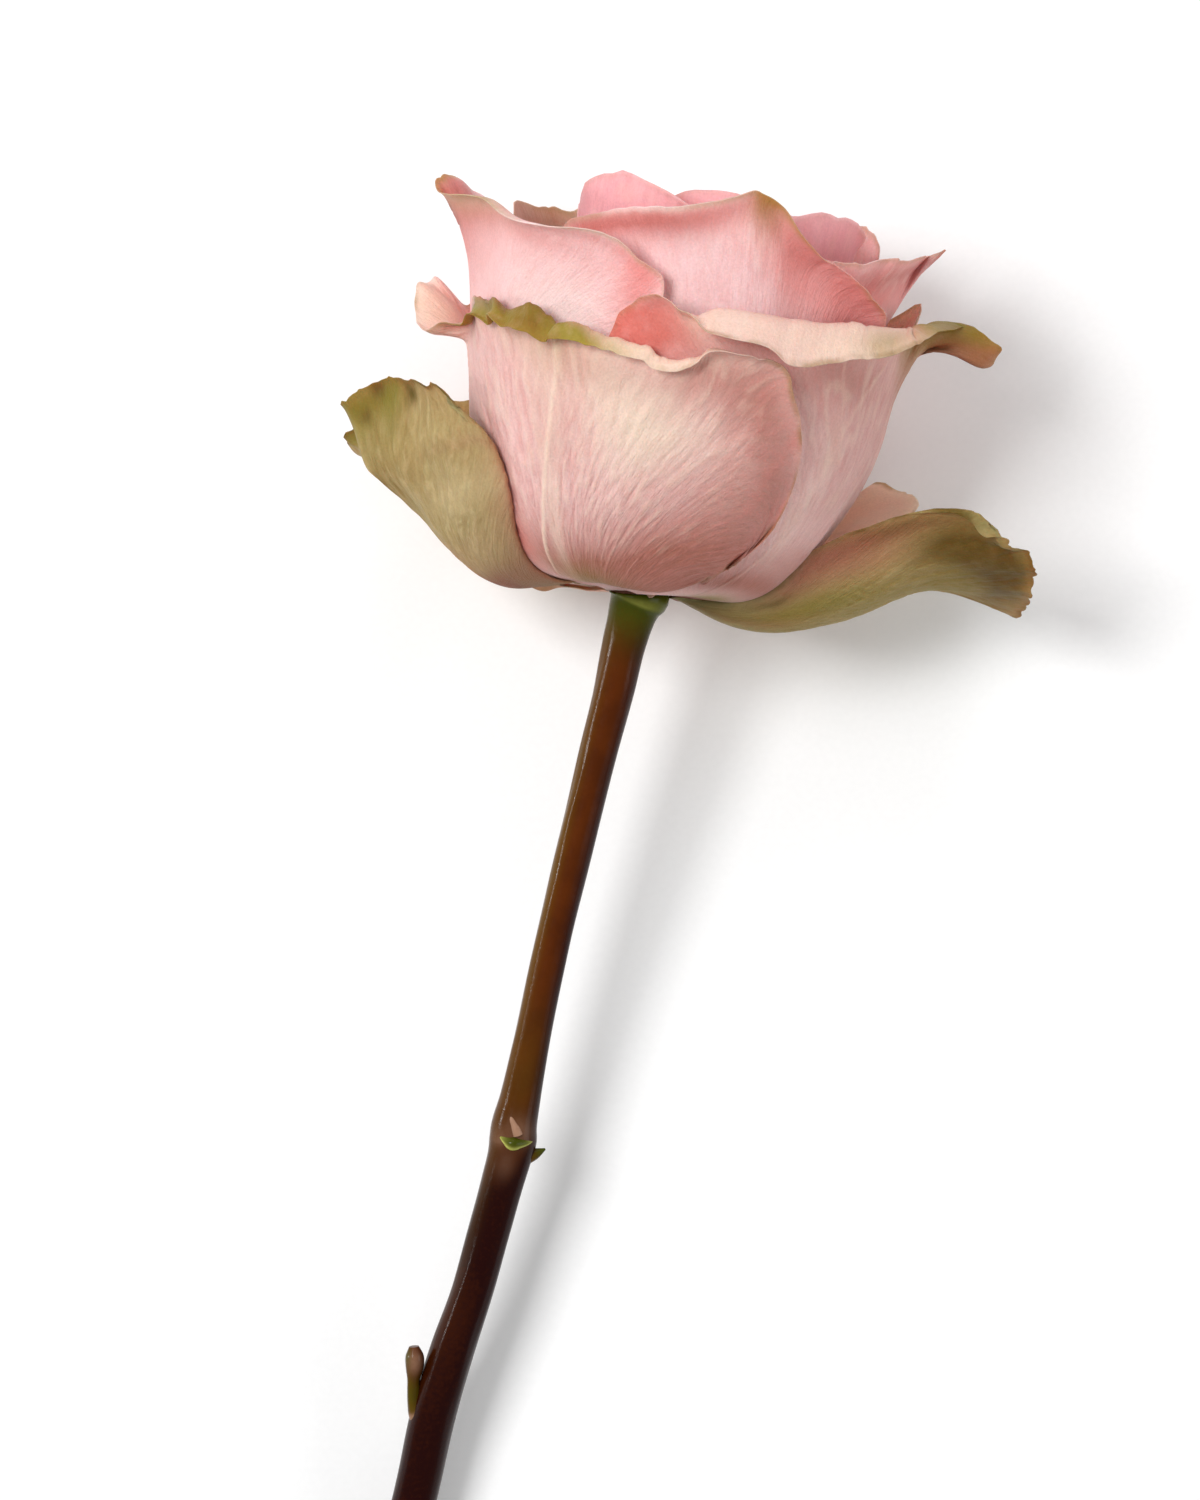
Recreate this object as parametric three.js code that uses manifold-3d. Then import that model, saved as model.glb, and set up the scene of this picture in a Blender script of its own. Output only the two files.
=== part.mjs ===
// A cut rose lying on a table: one half-open bloom on a bare stem, with four loose green guard petals.
// Millimetres, +Z up from the table, +Y along the flower towards the bloom, +X to its right.
import * as THREE from "three";
import { mergeVertices } from "three/addons/utils/BufferGeometryUtils.js";
import Module from "manifold-3d";

// Driving dimensions
const petalThickness = 0.6;
const bloomBase = new THREE.Vector3(6.27, 24.75, 31.5);
const bloomTiltRight = 8;
const bloomTiltUp = 8;
const bloomDrift = 2;
const cupRadius = 33;
const cupArc = 58;
const cupLean = [100, 80, 60, 47, 34, 24, 17, 10, 5, 3, 2];
const tableGap = 0.35;
const pressSoftness = 0.6;
const stemSides = 14;
const shootSides = 8;
const prickleSides = 6;

// How the petals are drawn
const rootWidth = 3;
const driftHeight = 30;
const edgeLift = 0.5;
const lapAngle = THREE.MathUtils.degToRad(72);
const leastRadius = 4;
const tipWidth = 0.12;
const longestRoll = 0.8;
const rollEase = 1.2;
const rollSteps = 24;
const lineStep = 0.25;
const lineSpare = 1.15;
const columnCrowding = 1.4;
const rowCrowding = 1.15;
const weldTolerance = 0.02;

// Stem centre line from the bloom to the cut end: x, y, z, radius
const stemLine = [
  [5.5, 22.3, 31.0, 4.1],
  [4.98, 20.2, 30.7, 3.7],
  [4.08, 17.3, 30.2, 3.4],
  [2.2, 9.4, 28.9, 3.2],
  [-0.2, 0, 27.4, 3.0],
  [-4.0, -15.8, 24.9, 2.85],
  [-7.75, -31.6, 22.4, 2.8],
  [-11.1, -47.6, 19.9, 2.93],
  [-12.7, -55.6, 18.6, 3.24],
  [-13.75, -61.6, 17.6, 3.75],
  [-14.45, -65.4, 17.05, 3.5],
  [-16.2, -71.6, 16.1, 3.38],
  [-20.34, -86.2, 13.9, 3.35],
  [-23.6, -95.9, 12.3, 3.5],
  [-26.5, -105.6, 10.8, 3.6],
  [-29.0, -117.1, 9.0, 3.5],
  [-38.5, -151.6, 3.75, 3.7],
];
// Cut side shoot lying against the lower stem
const shootLine = [
  [-28.6, -110.5, 10.6, 1.3],
  [-29.4, -107.6, 10.9, 1.55],
  [-29.9, -104.5, 11.5, 1.15],
  [-30.1, -101.0, 12.3, 1.25],
  [-29.9, -98.0, 13.0, 1.6],
  [-29.5, -95.6, 13.5, 1.3],
  [-29.2, -94.8, 13.7, 0.7],
];
// Prickle on the right of the joint, and the bud in the axil of the lost leaf
const prickleLine = [
  [-12.4, -64.8, 17.3, 1.5],
  [-10.2, -64.1, 17.5, 0.9],
  [-8.7, -63.4, 17.7, 0.15],
];
const budLine = [
  [-13.4, -62.6, 19.8, 0.9],
  [-13.1, -61.0, 20.7, 1.5],
  [-12.8, -59.2, 20.6, 1.2],
  [-12.6, -57.8, 20.2, 0.4],
];
// Seat under the petals, measured along the bloom axis: height, radius
const seatRings = [
  [-1.5, 4.6],
  [-2.1, 4.75],
  [-2.6, 4.5],
];
// Heart of petal bases that every petal of the bloom grows from: height, radius
const coreProfile = [
  [-1.2, 5.6],
  [-0.6, 6.3],
  [3.8, 6.2],
  [10.2, 4.8],
  [16.2, 3.2],
  [20.2, 1.4],
];
const coreSides = 10;

const colours = {
  petal: { color: 0xd9a19a, roughness: 0.62 },
  guard: { color: 0x9a9a5e, roughness: 0.68 },
  stem: { color: 0x4c2a1d, roughness: 0.42 },
};

// Petal settings. level lifts a whole petal outwards and spiral lifts its left and right halves, so that
// neighbours lap over each other. turn and depth roll the margin outwards, keyed from the left edge to the
// right one.
// A pull draws a place of the blade aside: where it is across and along the petal, how wide and how long it
// reaches, and its shift in x, y and z.
const petalBase = {
  at: 0, radius: 32.2, root: 5.3, height: 1.5, length: 60, fanLeft: 56, fanRight: 56, claw: 4,
  level: 0, spiral: [0, 0], flare: 0, flareFrom: 0.75, flareSide: [1, 1, 1], cross: 0,
  lean: null, trough: null, top: [1, 1, 1], tip: 0, tipAt: 0, blunt: 7, turn: [0, 0], depth: [5, 5], crisp: 1,
  shoulder: 0.5, wave: 0, waves: 5, rows: 6, rollRows: 3, columns: 11,
  pulls: [],
};
const guards = {
  guardPetalLeft: {
    at: -100, height: -2, length: 54, fanLeft: 32, fanRight: 34, claw: 3.4, blunt: 9,
    lean: [102, 92, 60, 44, 44, 54], trough: [12, 15, 18, 22, 26], cross: 1,
    turn: [10, 10], depth: [4, 4], wave: 0.5, waves: 5, columns: 13,
    pulls: [
      [0.85, 0.5, 0.35, 0.22, 3.5, 2.6, 8.3],
      [0.85, 0.71, 0.35, 0.18, 3.4, 2.1, 6.1],
      [0.85, 0.85, 0.3, 0.12, 1.5, 2.2, 2.3],
      [0.85, 1, 0.25, 0.12, 0.3, 1.6, 0.3],
      [0.6, 1, 0.16, 0.14, 4.8, 2.2, 1.2],
      [0.36, 1, 0.14, 0.14, 4.8, 5.3, 2.9],
      [0.16, 1, 0.1, 0.12, -0.4, 2.3, 3.9],
      [0.05, 1, 0.06, 0.12, -0.8, 1.1, 3.3],
      [-0.03, 1, 0.04, 0.1, -0.1, -1.8, 2.7],
      [-0.12, 1, 0.06, 0.12, -2.1, -3.5, 3.3],
      [-0.26, 1, 0.1, 0.14, -3.1, -4.6, 1.9],
      [-0.5, 1, 0.2, 0.2, -2.7, -5.8, 2.7],
      [-0.05, 0.8, 0.3, 0.12, -3.9, -0.4, 8.6],
      [0.95, 0.32, 0.35, 0.13, -0.7, -1.5, 0],
    ],
  },
  guardPetalRight: {
    at: 100, height: -3, length: 58, fanLeft: 30, fanRight: 28, claw: 3.4, blunt: 6, shoulder: 0.92,
    lean: [106, 98, 72, 62, 86, 98], trough: [12, 15, 17, 20, 24], cross: 1,
    turn: [10, 10], depth: [4, 4], wave: 0.5, waves: 5, columns: 13,
    pulls: [
      [-1, 0.2, 0.4, 0.12, 5.3, 4.2, 3.7],
      [-1, 0.35, 0.4, 0.12, 1.9, 6.8, 3.4],
      [-1, 0.5, 0.4, 0.13, 4.3, 7.7, 3],
      [-1, 0.66, 0.35, 0.13, 4.8, 6.6, 0.9],
      [-1, 0.8, 0.3, 0.12, 5, 2.6, 0.8],
      [-1, 0.93, 0.25, 0.1, 0.6, 0.7, 0.3],
      [-1, 1, 0.1, 0.1, 0.1, -3.9, -0.6],
      [-0.86, 1, 0.1, 0.12, -3.4, -2.1, -0],
      [-0.72, 1, 0.1, 0.12, -0.9, 1.1, 0],
      [-0.5, 1, 0.12, 0.12, -1.4, 1.8, 1.2],
      [-0.28, 1, 0.12, 0.12, -0.7, 2.7, 1.8],
      [-0.08, 1, 0.12, 0.12, -0.8, 0.2, 1.9],
      [0.15, 1, 0.14, 0.14, -1.1, 0.7, 3.4],
      [0.5, 1, 0.3, 0.2, -1.3, 1.4, 2.1],
      [1, 1, 0.15, 0.2, -1.5, -6.2, 2.6],
      [1, 0.8, 0.25, 0.15, 6.8, -0.4, -1.2],
      [-0.1, 0.5, 0.5, 0.15, -0.4, 1.6, -3],
      [-0.1, 0.71, 0.5, 0.15, 0, 3.1, -2],
      [-0.1, 0.85, 0.5, 0.12, -0.2, 1.1, -3.4],
      [-0.1, 0.31, 0.5, 0.12, 0.7, 1.4, 2.2],
      [-0.1, 0.4, 0.5, 0.1, 0.4, 0.5, 1.9],
      [0.8, 0.8, 0.3, 0.3, -4.3, -1.6, 1.3],
    ],
  },
  guardPetalBackRight: {
    at: 143, height: -2, length: 48, fanLeft: 23, fanRight: 26, claw: 2.6, blunt: 5,
    lean: [98, 86, 64, 54, 54, 60], trough: [14, 22, 30, 40, 50], cross: 1,
    depth: [4, 4], wave: 0.6, waves: 6,
    pulls: [
      [-0.85, 0.8, 0.3, 0.25, 1.7, 3.6, 1],
      [-0.8, 1, 0.16, 0.2, 3.3, -0.9, 1.8],
      [-0.58, 1, 0.14, 0.2, 0.4, 1.4, 2.6],
      [-0.38, 1, 0.14, 0.2, -0.3, 2.5, 0.7],
    ],
  },
  guardPetalBackLeft: {
    at: -150, height: -3, length: 48, fanLeft: 28, fanRight: 28, claw: 2.6, blunt: 5,
    lean: [104, 94, 66, 54, 54, 62], trough: [14, 22, 30, 40, 50], cross: 1,
    depth: [4, 4], wave: 0.6, waves: 6,
  },
};
const outerPetals = [
  {
    at: -32, length: 59.5, fanLeft: 61, fanRight: 48, level: 1.8, spiral: [0, 0.5], crisp: 0.8,
    top: [1, 1.24, 1.08, 0.97, 0.985, 1.07, 1], columns: 15,
    turn: [10, 60, 80, 150, 150, 50, 0], depth: [6, 12, 9, 5, 4.5, 4, 2],
    pulls: [
      [-0.92, 1, 0.05, 0.12, -4.5, 19.3, 2.9],
      [-0.86, 1, 0.05, 0.12, -3.6, 10.4, 6.1],
      [-0.8, 1, 0.05, 0.12, -3.3, 7.7, 6],
      [-0.75, 1, 0.05, 0.12, -5, 6.6, 9.4],
      [-0.68, 1, 0.05, 0.14, -5.2, 3.1, 9.5],
      [-0.62, 1, 0.05, 0.14, -4.1, -1.7, 6.7],
      [-0.56, 1, 0.05, 0.14, -2.7, -4.3, 4.9],
      [-0.5, 1, 0.05, 0.14, -1.3, -5.8, 1.7],
      [-0.43, 1, 0.05, 0.1, 1.7, -4.1, 1.2],
      [-0.37, 1, 0.04, 0.08, 2, -3.6, -1.2],
      [-0.29, 1, 0.05, 0.07, 4.3, -5.8, 0.8],
      [-0.2, 1, 0.05, 0.07, 2.2, -3.1, 2.8],
      [-0.12, 1, 0.04, 0.07, 0.5, -1.3, 0.4],
      [-0.05, 1, 0.04, 0.07, -0.6, -1.1, -0.5],
      [0.02, 1, 0.04, 0.07, -2.6, -0.2, -1.6],
      [0.1, 1, 0.05, 0.07, -0.7, -0.2, -0.3],
      [0.18, 1, 0.05, 0.08, -0.9, -0.6, -0.2],
      [0.25, 1, 0.05, 0.08, 0.2, -1.2, -0.1],
      [0.31, 1, 0.05, 0.08, -0.5, -1.2, -0.3],
      [0.37, 1, 0.05, 0.08, 0.2, -0, 0.2],
      [0.43, 1, 0.05, 0.08, -1.7, 0.3, -0.1],
      [0.49, 1, 0.05, 0.1, -3.5, 2, 0.9],
      [-0.35, 0.9, 0.05, 0.06, -1.3, 2.1, 1.4],
      [-0.27, 0.9, 0.05, 0.06, -1, 1.3, -1.4],
      [-0.19, 0.9, 0.05, 0.06, -1.5, 1.5, -2.2],
      [-0.1, 0.9, 0.05, 0.06, -1.4, 3.4, -1.5],
      [-0.02, 0.9, 0.05, 0.06, -1, 2.1, -0.7],
      [0.07, 0.9, 0.06, 0.06, -1, 1.4, -0.5],
      [0.6, 1, 0.08, 0.25, -3.8, 0.2, 1.3],
      [0.72, 1, 0.08, 0.3, -3.7, 1, 2.9],
      [0.82, 1, 0.08, 0.3, -3.1, 0.1, 3.1],
      [0.9, 1, 0.07, 0.3, -1.6, 0.6, 1.6],
      [0.96, 1, 0.05, 0.3, -1.6, -0.2, 2.4],
      [1, 1, 0.06, 0.25, 1.3, 1.9, -1.1],
      [1, 0.62, 0.1, 0.2, 3.7, 4.1, -1.2],
      [1, 0.3, 0.2, 0.15, 4.2, 3.7, -1.7],
      [0.85, 0.1, 0.35, 0.1, 2.4, 1.4, -0.4],
      [0.3, 0.1, 0.3, 0.1, -0.3, 1.1, 0.2],
    ],
  },
  {
    at: 60, length: 65, fanLeft: 56, fanRight: 50, level: 0.5, spiral: [0, 1.6], crisp: 0.6,
    top: [1, 1.13, 1.06, 1, 1.02, 1.2, 1.1], columns: 15,
    flare: 34, flareFrom: 0.8, flareSide: [0, 0.2, 1.15],
    turn: [0, 0, 70, 140, 130, 100, 50, 20, 0], depth: [2, 2, 5, 9, 10, 9, 12, 8, 4],
    pulls: [
      [-0.75, 1, 0.1, 0.2, 3.9, 1.8, 2.2],
      [-0.6, 1, 0.09, 0.2, 2.1, 1.4, 0.6],
      [-0.48, 1, 0.06, 0.12, -2.5, -0.7, -0.2],
      [-0.4, 1, 0.05, 0.08, -5, -2.1, 0.6],
      [-0.4, 0.89, 0.06, 0.06, -3.5, 3.4, 1.3],
      [-0.29, 1, 0.06, 0.08, -3, -2.2, 0.8],
      [-0.29, 0.89, 0.07, 0.06, 0.5, 1.7, 0.3],
      [-0.18, 1, 0.06, 0.08, -2.6, -0.6, 1.7],
      [-0.18, 0.89, 0.07, 0.06, 1.5, 1.3, -1],
      [-0.07, 1, 0.06, 0.08, -2.7, 1.4, 3.7],
      [-0.07, 0.89, 0.07, 0.06, 1, 1.9, -0.3],
      [0.04, 1, 0.05, 0.08, -1.8, 2.8, 4],
      [0.04, 0.89, 0.07, 0.06, 2.7, 1.8, -5.2],
      [0.13, 1, 0.05, 0.08, -1.7, 2.1, 4.9],
      [0.2, 1, 0.05, 0.1, -0.7, 2.1, 3.8],
      [0.28, 1, 0.05, 0.1, 2, 3, -4.5],
      [0.35, 1, 0.05, 0.1, 3.4, 2, -0.5],
      [0.42, 1, 0.05, 0.1, 6.8, -2.9, 2.4],
      [0.49, 1, 0.05, 0.1, 6.3, -7.4, 3.7],
      [0.57, 1, 0.06, 0.1, 5.9, -7.8, 6.9],
      [0.5, 0.9, 0.08, 0.08, 2.9, -0.3, 10.6],
      [0.35, 0.88, 0.08, 0.08, 2.1, 0.9, 3.8],
      [0.68, 1, 0.08, 0.12, 7.9, -9, 9.6],
      [0.8, 1, 0.12, 0.25, 5, -1.7, 3.8],
    ],
  },
  {
    at: 150, length: 61, fanLeft: 50, fanRight: 50, level: -0.8, flare: 20, flareSide: [0, 1, 1], rows: 5,
    turn: [0, 0, 0, 90, 90, 80, 30], depth: [5, 7, 9, 12, 11, 8, 5],
    pulls: [
      [-0.5, 1, 0.1, 0.13, 5.9, 7.2, -4.5],
    ],
  },
  {
    at: -150, length: 61, fanLeft: 44, fanRight: 40, level: -1.9, flare: 16, flareSide: [0, 1, 0], rows: 5,
    turn: [0, 0, 0, 80, 80, 0, 0], depth: [5, 8, 11, 12, 8, 6, 4],
  },
];
const middleBase = {
  radius: 27.4, height: 6.4, root: 4.4, claw: 3, fanLeft: 38, fanRight: 38, spiral: [1.6, 1.6],
};
const middlePetals = [
  {
    at: -80, length: 71, level: 1.5, spiral: [0, 0.2], fanLeft: 30, fanRight: 34, flare: 56,
    flareFrom: 0.66, flareSide: [1, 1, 0.15], top: [1, 1, 1, 1, 1, 1.03, 0.9], columns: 13,
    turn: [0, 0, 60, 10, 70, 30, 0], depth: [5, 5, 8, 3, 6, 4, 3],
    pulls: [
      [-0.75, 1, 0.12, 0.25, -0.4, -4.6, -1],
      [-0.5, 1, 0.12, 0.25, 3.2, -4.8, -7.5],
      [-0.3, 1, 0.1, 0.25, 2.1, 1, -6.9],
      [-0.15, 1, 0.07, 0.25, 0.2, 1.4, -0.4],
      [-0.05, 1, 0.06, 0.25, -1.3, 1.4, -1.6],
      [0.05, 1, 0.07, 0.25, -3, 1.3, -4.7],
      [0.14, 1, 0.07, 0.25, -3.4, 0.1, -8.2],
      [0.24, 1, 0.08, 0.2, 0.6, 0.7, 1.3],
      [0.33, 1, 0.08, 0.2, 0.3, -1.3, 0.6],
      [0.45, 1, 0.1, 0.2, 3.1, -2.9, 2.8],
      [0.58, 1, 0.1, 0.2, 2, -2.9, 0.8],
      [0.72, 1, 0.1, 0.25, 0.1, -4.4, -0.5],
      [0.86, 1, 0.1, 0.3, 1.3, 1.1, 0.4],
    ],
  },
  {
    at: 20, length: 69.5, tip: 3, flare: 6, flareFrom: 0.7, fanRight: 28, top: [1, 1, 0.97, 1, 0.96, 0.94, 1],
    turn: [0, 0, 20, 40, 110, 90, 20], depth: [5, 5, 6, 3, 8, 7, 5], columns: 13,
    pulls: [
      [-0.8, 1, 0.12, 0.25, 0, 3.9, -0.2],
      [-0.62, 1, 0.12, 0.25, 0.4, 0.4, 0.3],
      [-0.42, 1, 0.15, 0.25, 0.4, 1.4, 0.3],
      [-0.19, 1, 0.15, 0.25, -0.1, 1.5, 0.1],
      [0.02, 1, 0.08, 0.2, -2.4, -0.5, 0.5],
      [0.19, 1, 0.12, 0.25, -2.8, 0.7, 2],
      [0.42, 1, 0.15, 0.3, -3.1, 0.1, 3.9],
      [0.62, 1, 0.15, 0.3, -2.7, -1.3, 5.6],
      [0.85, 1, 0.15, 0.3, -1.1, -3.7, 4.4],
    ],
  },
  {
    at: 90, length: 68, fanRight: 34, tip: 6, tipAt: 0.25,
    flare: 62, flareFrom: 0.7, flareSide: [0.4, 0.7, 1, 1],
    turn: [0, 0, 0, 0, 0, 30, 20], depth: [5, 5, 5, 3, 9, 9, 5], columns: 13,
    pulls: [
      [-0.62, 1, 0.15, 0.25, 1.1, -0.5, -2.1],
      [-0.42, 1, 0.12, 0.25, -1.6, -1.6, 1.6],
      [-0.19, 1, 0.12, 0.2, -2.6, -1.8, 4.9],
      [0, 1, 0.1, 0.18, -1.1, 0.8, -6.4],
      [0.17, 1, 0.1, 0.18, -0.8, 0.8, -0.9],
      [0.42, 1, 0.15, 0.3, 0, -4.6, 0.8],
      [0.65, 1, 0.15, 0.3, 2.7, -3.4, 2.2],
      [0.1, 0.84, 0.25, 0.14, 3.5, -1, 5.5],
    ],
  },
  {
    at: 151, length: 64, spiral: [1.6, 1.1], fanRight: 36, flare: 22, flareFrom: 0.7, flareSide: [0, 0.5, 1],
    turn: [0, 0, 0, 0, 30, 80, 20], depth: [5, 9, 3, 9, 5, 5, 5], rows: 5,
    pulls: [
      [-0.5, 1, 0.16, 0.12, -2.1, 6.5, -6.7],
      [-0.66, 1, 0.12, 0.12, 1.7, 5.5, -6.9],
      [-0.82, 1, 0.12, 0.14, 3.6, 10.1, -11.6],
    ],
  },
  {
    at: -144, length: 65, level: -0.5, spiral: [1.6, 0], fanRight: 34, flare: 22, flareFrom: 0.7,
    flareSide: [0, 0.5, 1], rows: 5,
    pulls: [
      [0.19, 1, 0.12, 0.2, 1.6, -2.1, -2.3],
      [0.4, 1, 0.1, 0.2, 1.5, -0.3, -3],
      [0.58, 1, 0.1, 0.2, -1.2, 2.1, 4.2],
    ],
  },
].map((petal) => ({ ...middleBase, ...petal }));
// Inner rings, from the third whorl to the closed heart
const innerRings = [
  {
    count: 4, start: -36,
    pulls: [[[0, 1, 0.35, 0.3, 0.6, 4.1, 0.6]], [[0, 1, 0.35, 0.3, 0.3, 2.1, 0.3]]],
    petal: {
      radius: 22.2, height: 10, root: 3.6, length: 61, fanLeft: 39, fanRight: 39, claw: 2.4, flare: 3,
      spiral: [1.5, 1.5], turn: [0, 0, 0, 0, 40, 60, 0], depth: [4, 4], columns: 9, rows: 6, rollRows: 1,
    },
  },
  {
    count: 4, start: 8,
    pulls: [[[0, 1, 0.35, 0.3, 0.5, 3.3, 0.5]]],
    petal: {
      radius: 17.2, height: 13, root: 2.8, length: 56, fanLeft: 33, fanRight: 33, claw: 2, flare: -5,
      spiral: [1.5, 1.5], turn: [0, 0, 0, 0, 20, 30, 0], depth: [4, 4], columns: 8, rows: 5, rollRows: 1,
    },
  },
  {
    count: 3, start: 60,
    petal: {
      radius: 12.2, height: 16.2, root: 2, length: 49, fanLeft: 29, fanRight: 29, claw: 1.6, flare: -13,
      spiral: [1.2, 1.2], depth: [4, 4], columns: 7, rows: 5, rollRows: 1,
    },
  },
  {
    count: 3, start: 100,
    petal: {
      radius: 7.4, height: 18.8, root: 1.2, length: 41, fanLeft: 22, fanRight: 22, claw: 1.1, flare: -26,
      flareFrom: 0.55, spiral: [1, 1], depth: [4, 4], columns: 7, rows: 5, rollRows: 1,
    },
  },
  {
    count: 2, start: 40,
    petal: {
      radius: 4.6, height: 20, root: 0.6, length: 37, fanLeft: 18, fanRight: 18, claw: 0.8, flare: -30,
      flareFrom: 0.5, spiral: [0.9, 0.9], depth: [4, 4], columns: 6, rows: 5, rollRows: 1,
    },
  },
];

const radians = THREE.MathUtils.degToRad;
const clamp = THREE.MathUtils.clamp;
const wasm = await Module();
wasm.setup();

// Frame of the bloom: along its axis, to its right, and towards its upper side
const tiltRight = radians(bloomTiltRight);
const tiltUp = radians(bloomTiltUp);
const along = new THREE.Vector3(
  Math.sin(tiltRight) * Math.cos(tiltUp),
  Math.cos(tiltRight) * Math.cos(tiltUp),
  Math.sin(tiltUp),
);
const right = new THREE.Vector3(Math.cos(tiltRight), -Math.sin(tiltRight), 0);
const facing = new THREE.Vector3().crossVectors(right, along);

function inBloom(toRight, toFront, height) {
  return bloomBase
    .clone()
    .addScaledVector(right, toRight)
    .addScaledVector(facing, toFront)
    .addScaledVector(along, height);
}

function ease(t) {
  const c = clamp(t, 0, 1);
  return c * c * (3 - 2 * c);
}

// Value of evenly spaced keys at t from 0 to 1, eased or straight between them
function keyed(keys, t, eased = true) {
  const place = clamp(t, 0, 1) * (keys.length - 1);
  const i = Math.min(Math.floor(place), keys.length - 2);
  const f = eased ? ease(place - i) : place - i;
  return keys[i] * (1 - f) + keys[i + 1] * f;
}

// Column i of count as a place from -1 to 1 across the petal, closer together towards its edges
function spread(i, count) {
  const even = (2 * i) / count - 1;
  return Math.sign(even) * (1 - Math.pow(1 - Math.abs(even), columnCrowding));
}

// The petal's middle line in short steps: distance from the axis, height and lean
function middleLine(petal, flare) {
  const step = lineStep;
  const count = Math.ceil((petal.length * lineSpare) / step);
  const line = { out: [petal.root], up: [petal.height], lean: [] };
  const leanAt = (s) => {
    const base = petal.lean
      ? keyed(petal.lean, s / petal.length, false)
      : keyed(cupLean, (s * cupRadius) / (cupArc * petal.radius), false);
    const open = ease((s / petal.length - petal.flareFrom) / (1 - petal.flareFrom));
    return radians(base + flare * open);
  };
  for (let i = 0; i <= count; i++) {
    line.lean.push(leanAt(i * step));
    if (i === 0) continue;
    const lean = (line.lean[i] + line.lean[i - 1]) / 2;
    line.out.push(line.out[i - 1] + Math.sin(lean) * step);
    line.up.push(line.up[i - 1] + Math.cos(lean) * step);
  }
  return line;
}

// Value part way between two steps of a middle line
function atStep(values, place) {
  const p = clamp(place, 0, values.length - 1);
  const i = Math.min(Math.floor(p), values.length - 2);
  return values[i] + (values[i + 1] - values[i]) * (p - i);
}

// Maps a point of the flat petal, x across and y up from the root, on to the curved petal
function shaper(petal) {
  const plain = middleLine(petal, 0);
  const flared = middleLine(petal, petal.flare);
  const turnTo = radians(petal.at);
  return (x, y, a) => {
    const share = keyed(petal.flareSide, (a + 1) / 2);
    const place = y / lineStep;
    const blend = (key) =>
      atStep(plain[key], place) * (1 - share) + atStep(flared[key], place) * share;
    const out = blend("out");
    const up = blend("up");
    const lean = blend("lean");
    const t = y / petal.length;
    const bend = petal.trough ? keyed(petal.trough.map((radius) => 1 / radius), t, false) : 1 / out;
    const angle = bend * x;
    const inward = (1 - Math.cos(angle)) / bend;
    const tilt = petal.cross * lean;
    const lap = (petal.spiral[x < 0 ? 0 : 1] * x) / Math.max(out, leastRadius) / lapAngle;
    const lift = petal.level + edgeLift * Math.max(a, 0) ** 4 + lap;
    const fromAxis = out - inward * Math.cos(tilt) + lift * Math.cos(lean) * Math.cos(angle);
    const aside = Math.sin(angle) / bend + lift * Math.cos(lean) * Math.sin(angle);
    const height = up + inward * Math.sin(tilt) - lift * Math.sin(lean);
    const toFront = fromAxis * Math.cos(turnTo) - aside * Math.sin(turnTo);
    const toRight = fromAxis * Math.sin(turnTo) + aside * Math.cos(turnTo);
    return inBloom(toRight + bloomDrift * ease(height / driftHeight), toFront, height);
  };
}

// Shifts a point by the petal's pulls
function pulled(point, pulls, a, t) {
  for (const [across, run, wide, long, x, y, z] of pulls) {
    const weight = Math.exp(-(((a - across) / wide) ** 2) - ((t - run) / long) ** 2);
    point.add(new THREE.Vector3(x, y, z).multiplyScalar(weight));
  }
  return point;
}

// Middle sheet of a petal as rays that fan out from its root, with the margin rolled outwards
function petalSheet(petal) {
  const shape = shaper(petal);
  const sheet = [];
  for (let i = 0; i <= petal.columns; i++) {
    const a = spread(i, petal.columns);
    const key = (a + 1) / 2;
    const dome = Math.pow(1 - Math.pow(Math.abs(a), petal.blunt), 0.5);
    const crown = petal.shoulder + (1 - petal.shoulder) * dome;
    const point = Math.exp(-(((a - petal.tipAt) / tipWidth) ** 2));
    const reach = crown * keyed(petal.top, key) + (petal.tip / petal.length) * point;
    const length = rootWidth + (petal.length - rootWidth) * reach;
    const depth = Math.min(keyed(petal.depth, key), length * longestRoll);
    const turn = radians(keyed(petal.turn, key));
    const fan = radians(a < 0 ? petal.fanLeft : petal.fanRight);
    const at = (d, swing = 0) => {
      const angle = a * fan + swing;
      return shape(petal.claw * a + d * Math.sin(angle), d * Math.cos(angle), a);
    };
    const fold = length - depth;
    const ray = [];
    for (let j = 0; j <= petal.rows; j++) {
      const d = fold * Math.pow(j / petal.rows, rowCrowding);
      ray.push(pulled(at(d), petal.pulls, a, d / length));
    }
    const start = at(fold);
    const ahead = start.clone().sub(at(fold - lineStep)).normalize();
    const swing = radians(1);
    const across = at(fold, swing).sub(at(fold, -swing));
    const outward = across.cross(ahead).normalize();
    const count = rollSteps * petal.rollRows;
    let forward = 0;
    let rise = 0;
    for (let k = 1; k <= count; k++) {
      const bend = turn * Math.pow(Math.min((k - 0.5) / count / petal.crisp, 1), rollEase);
      forward += (Math.cos(bend) * depth) / count;
      rise += (Math.sin(bend) * depth) / count;
      if (k % rollSteps) continue;
      const rolled = start.clone().addScaledVector(ahead, forward).addScaledVector(outward, rise);
      ray.push(pulled(rolled, petal.pulls, a, (fold + (depth * k) / count) / length));
    }
    sheet.push(ray);
  }
  return sheet;
}

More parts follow.
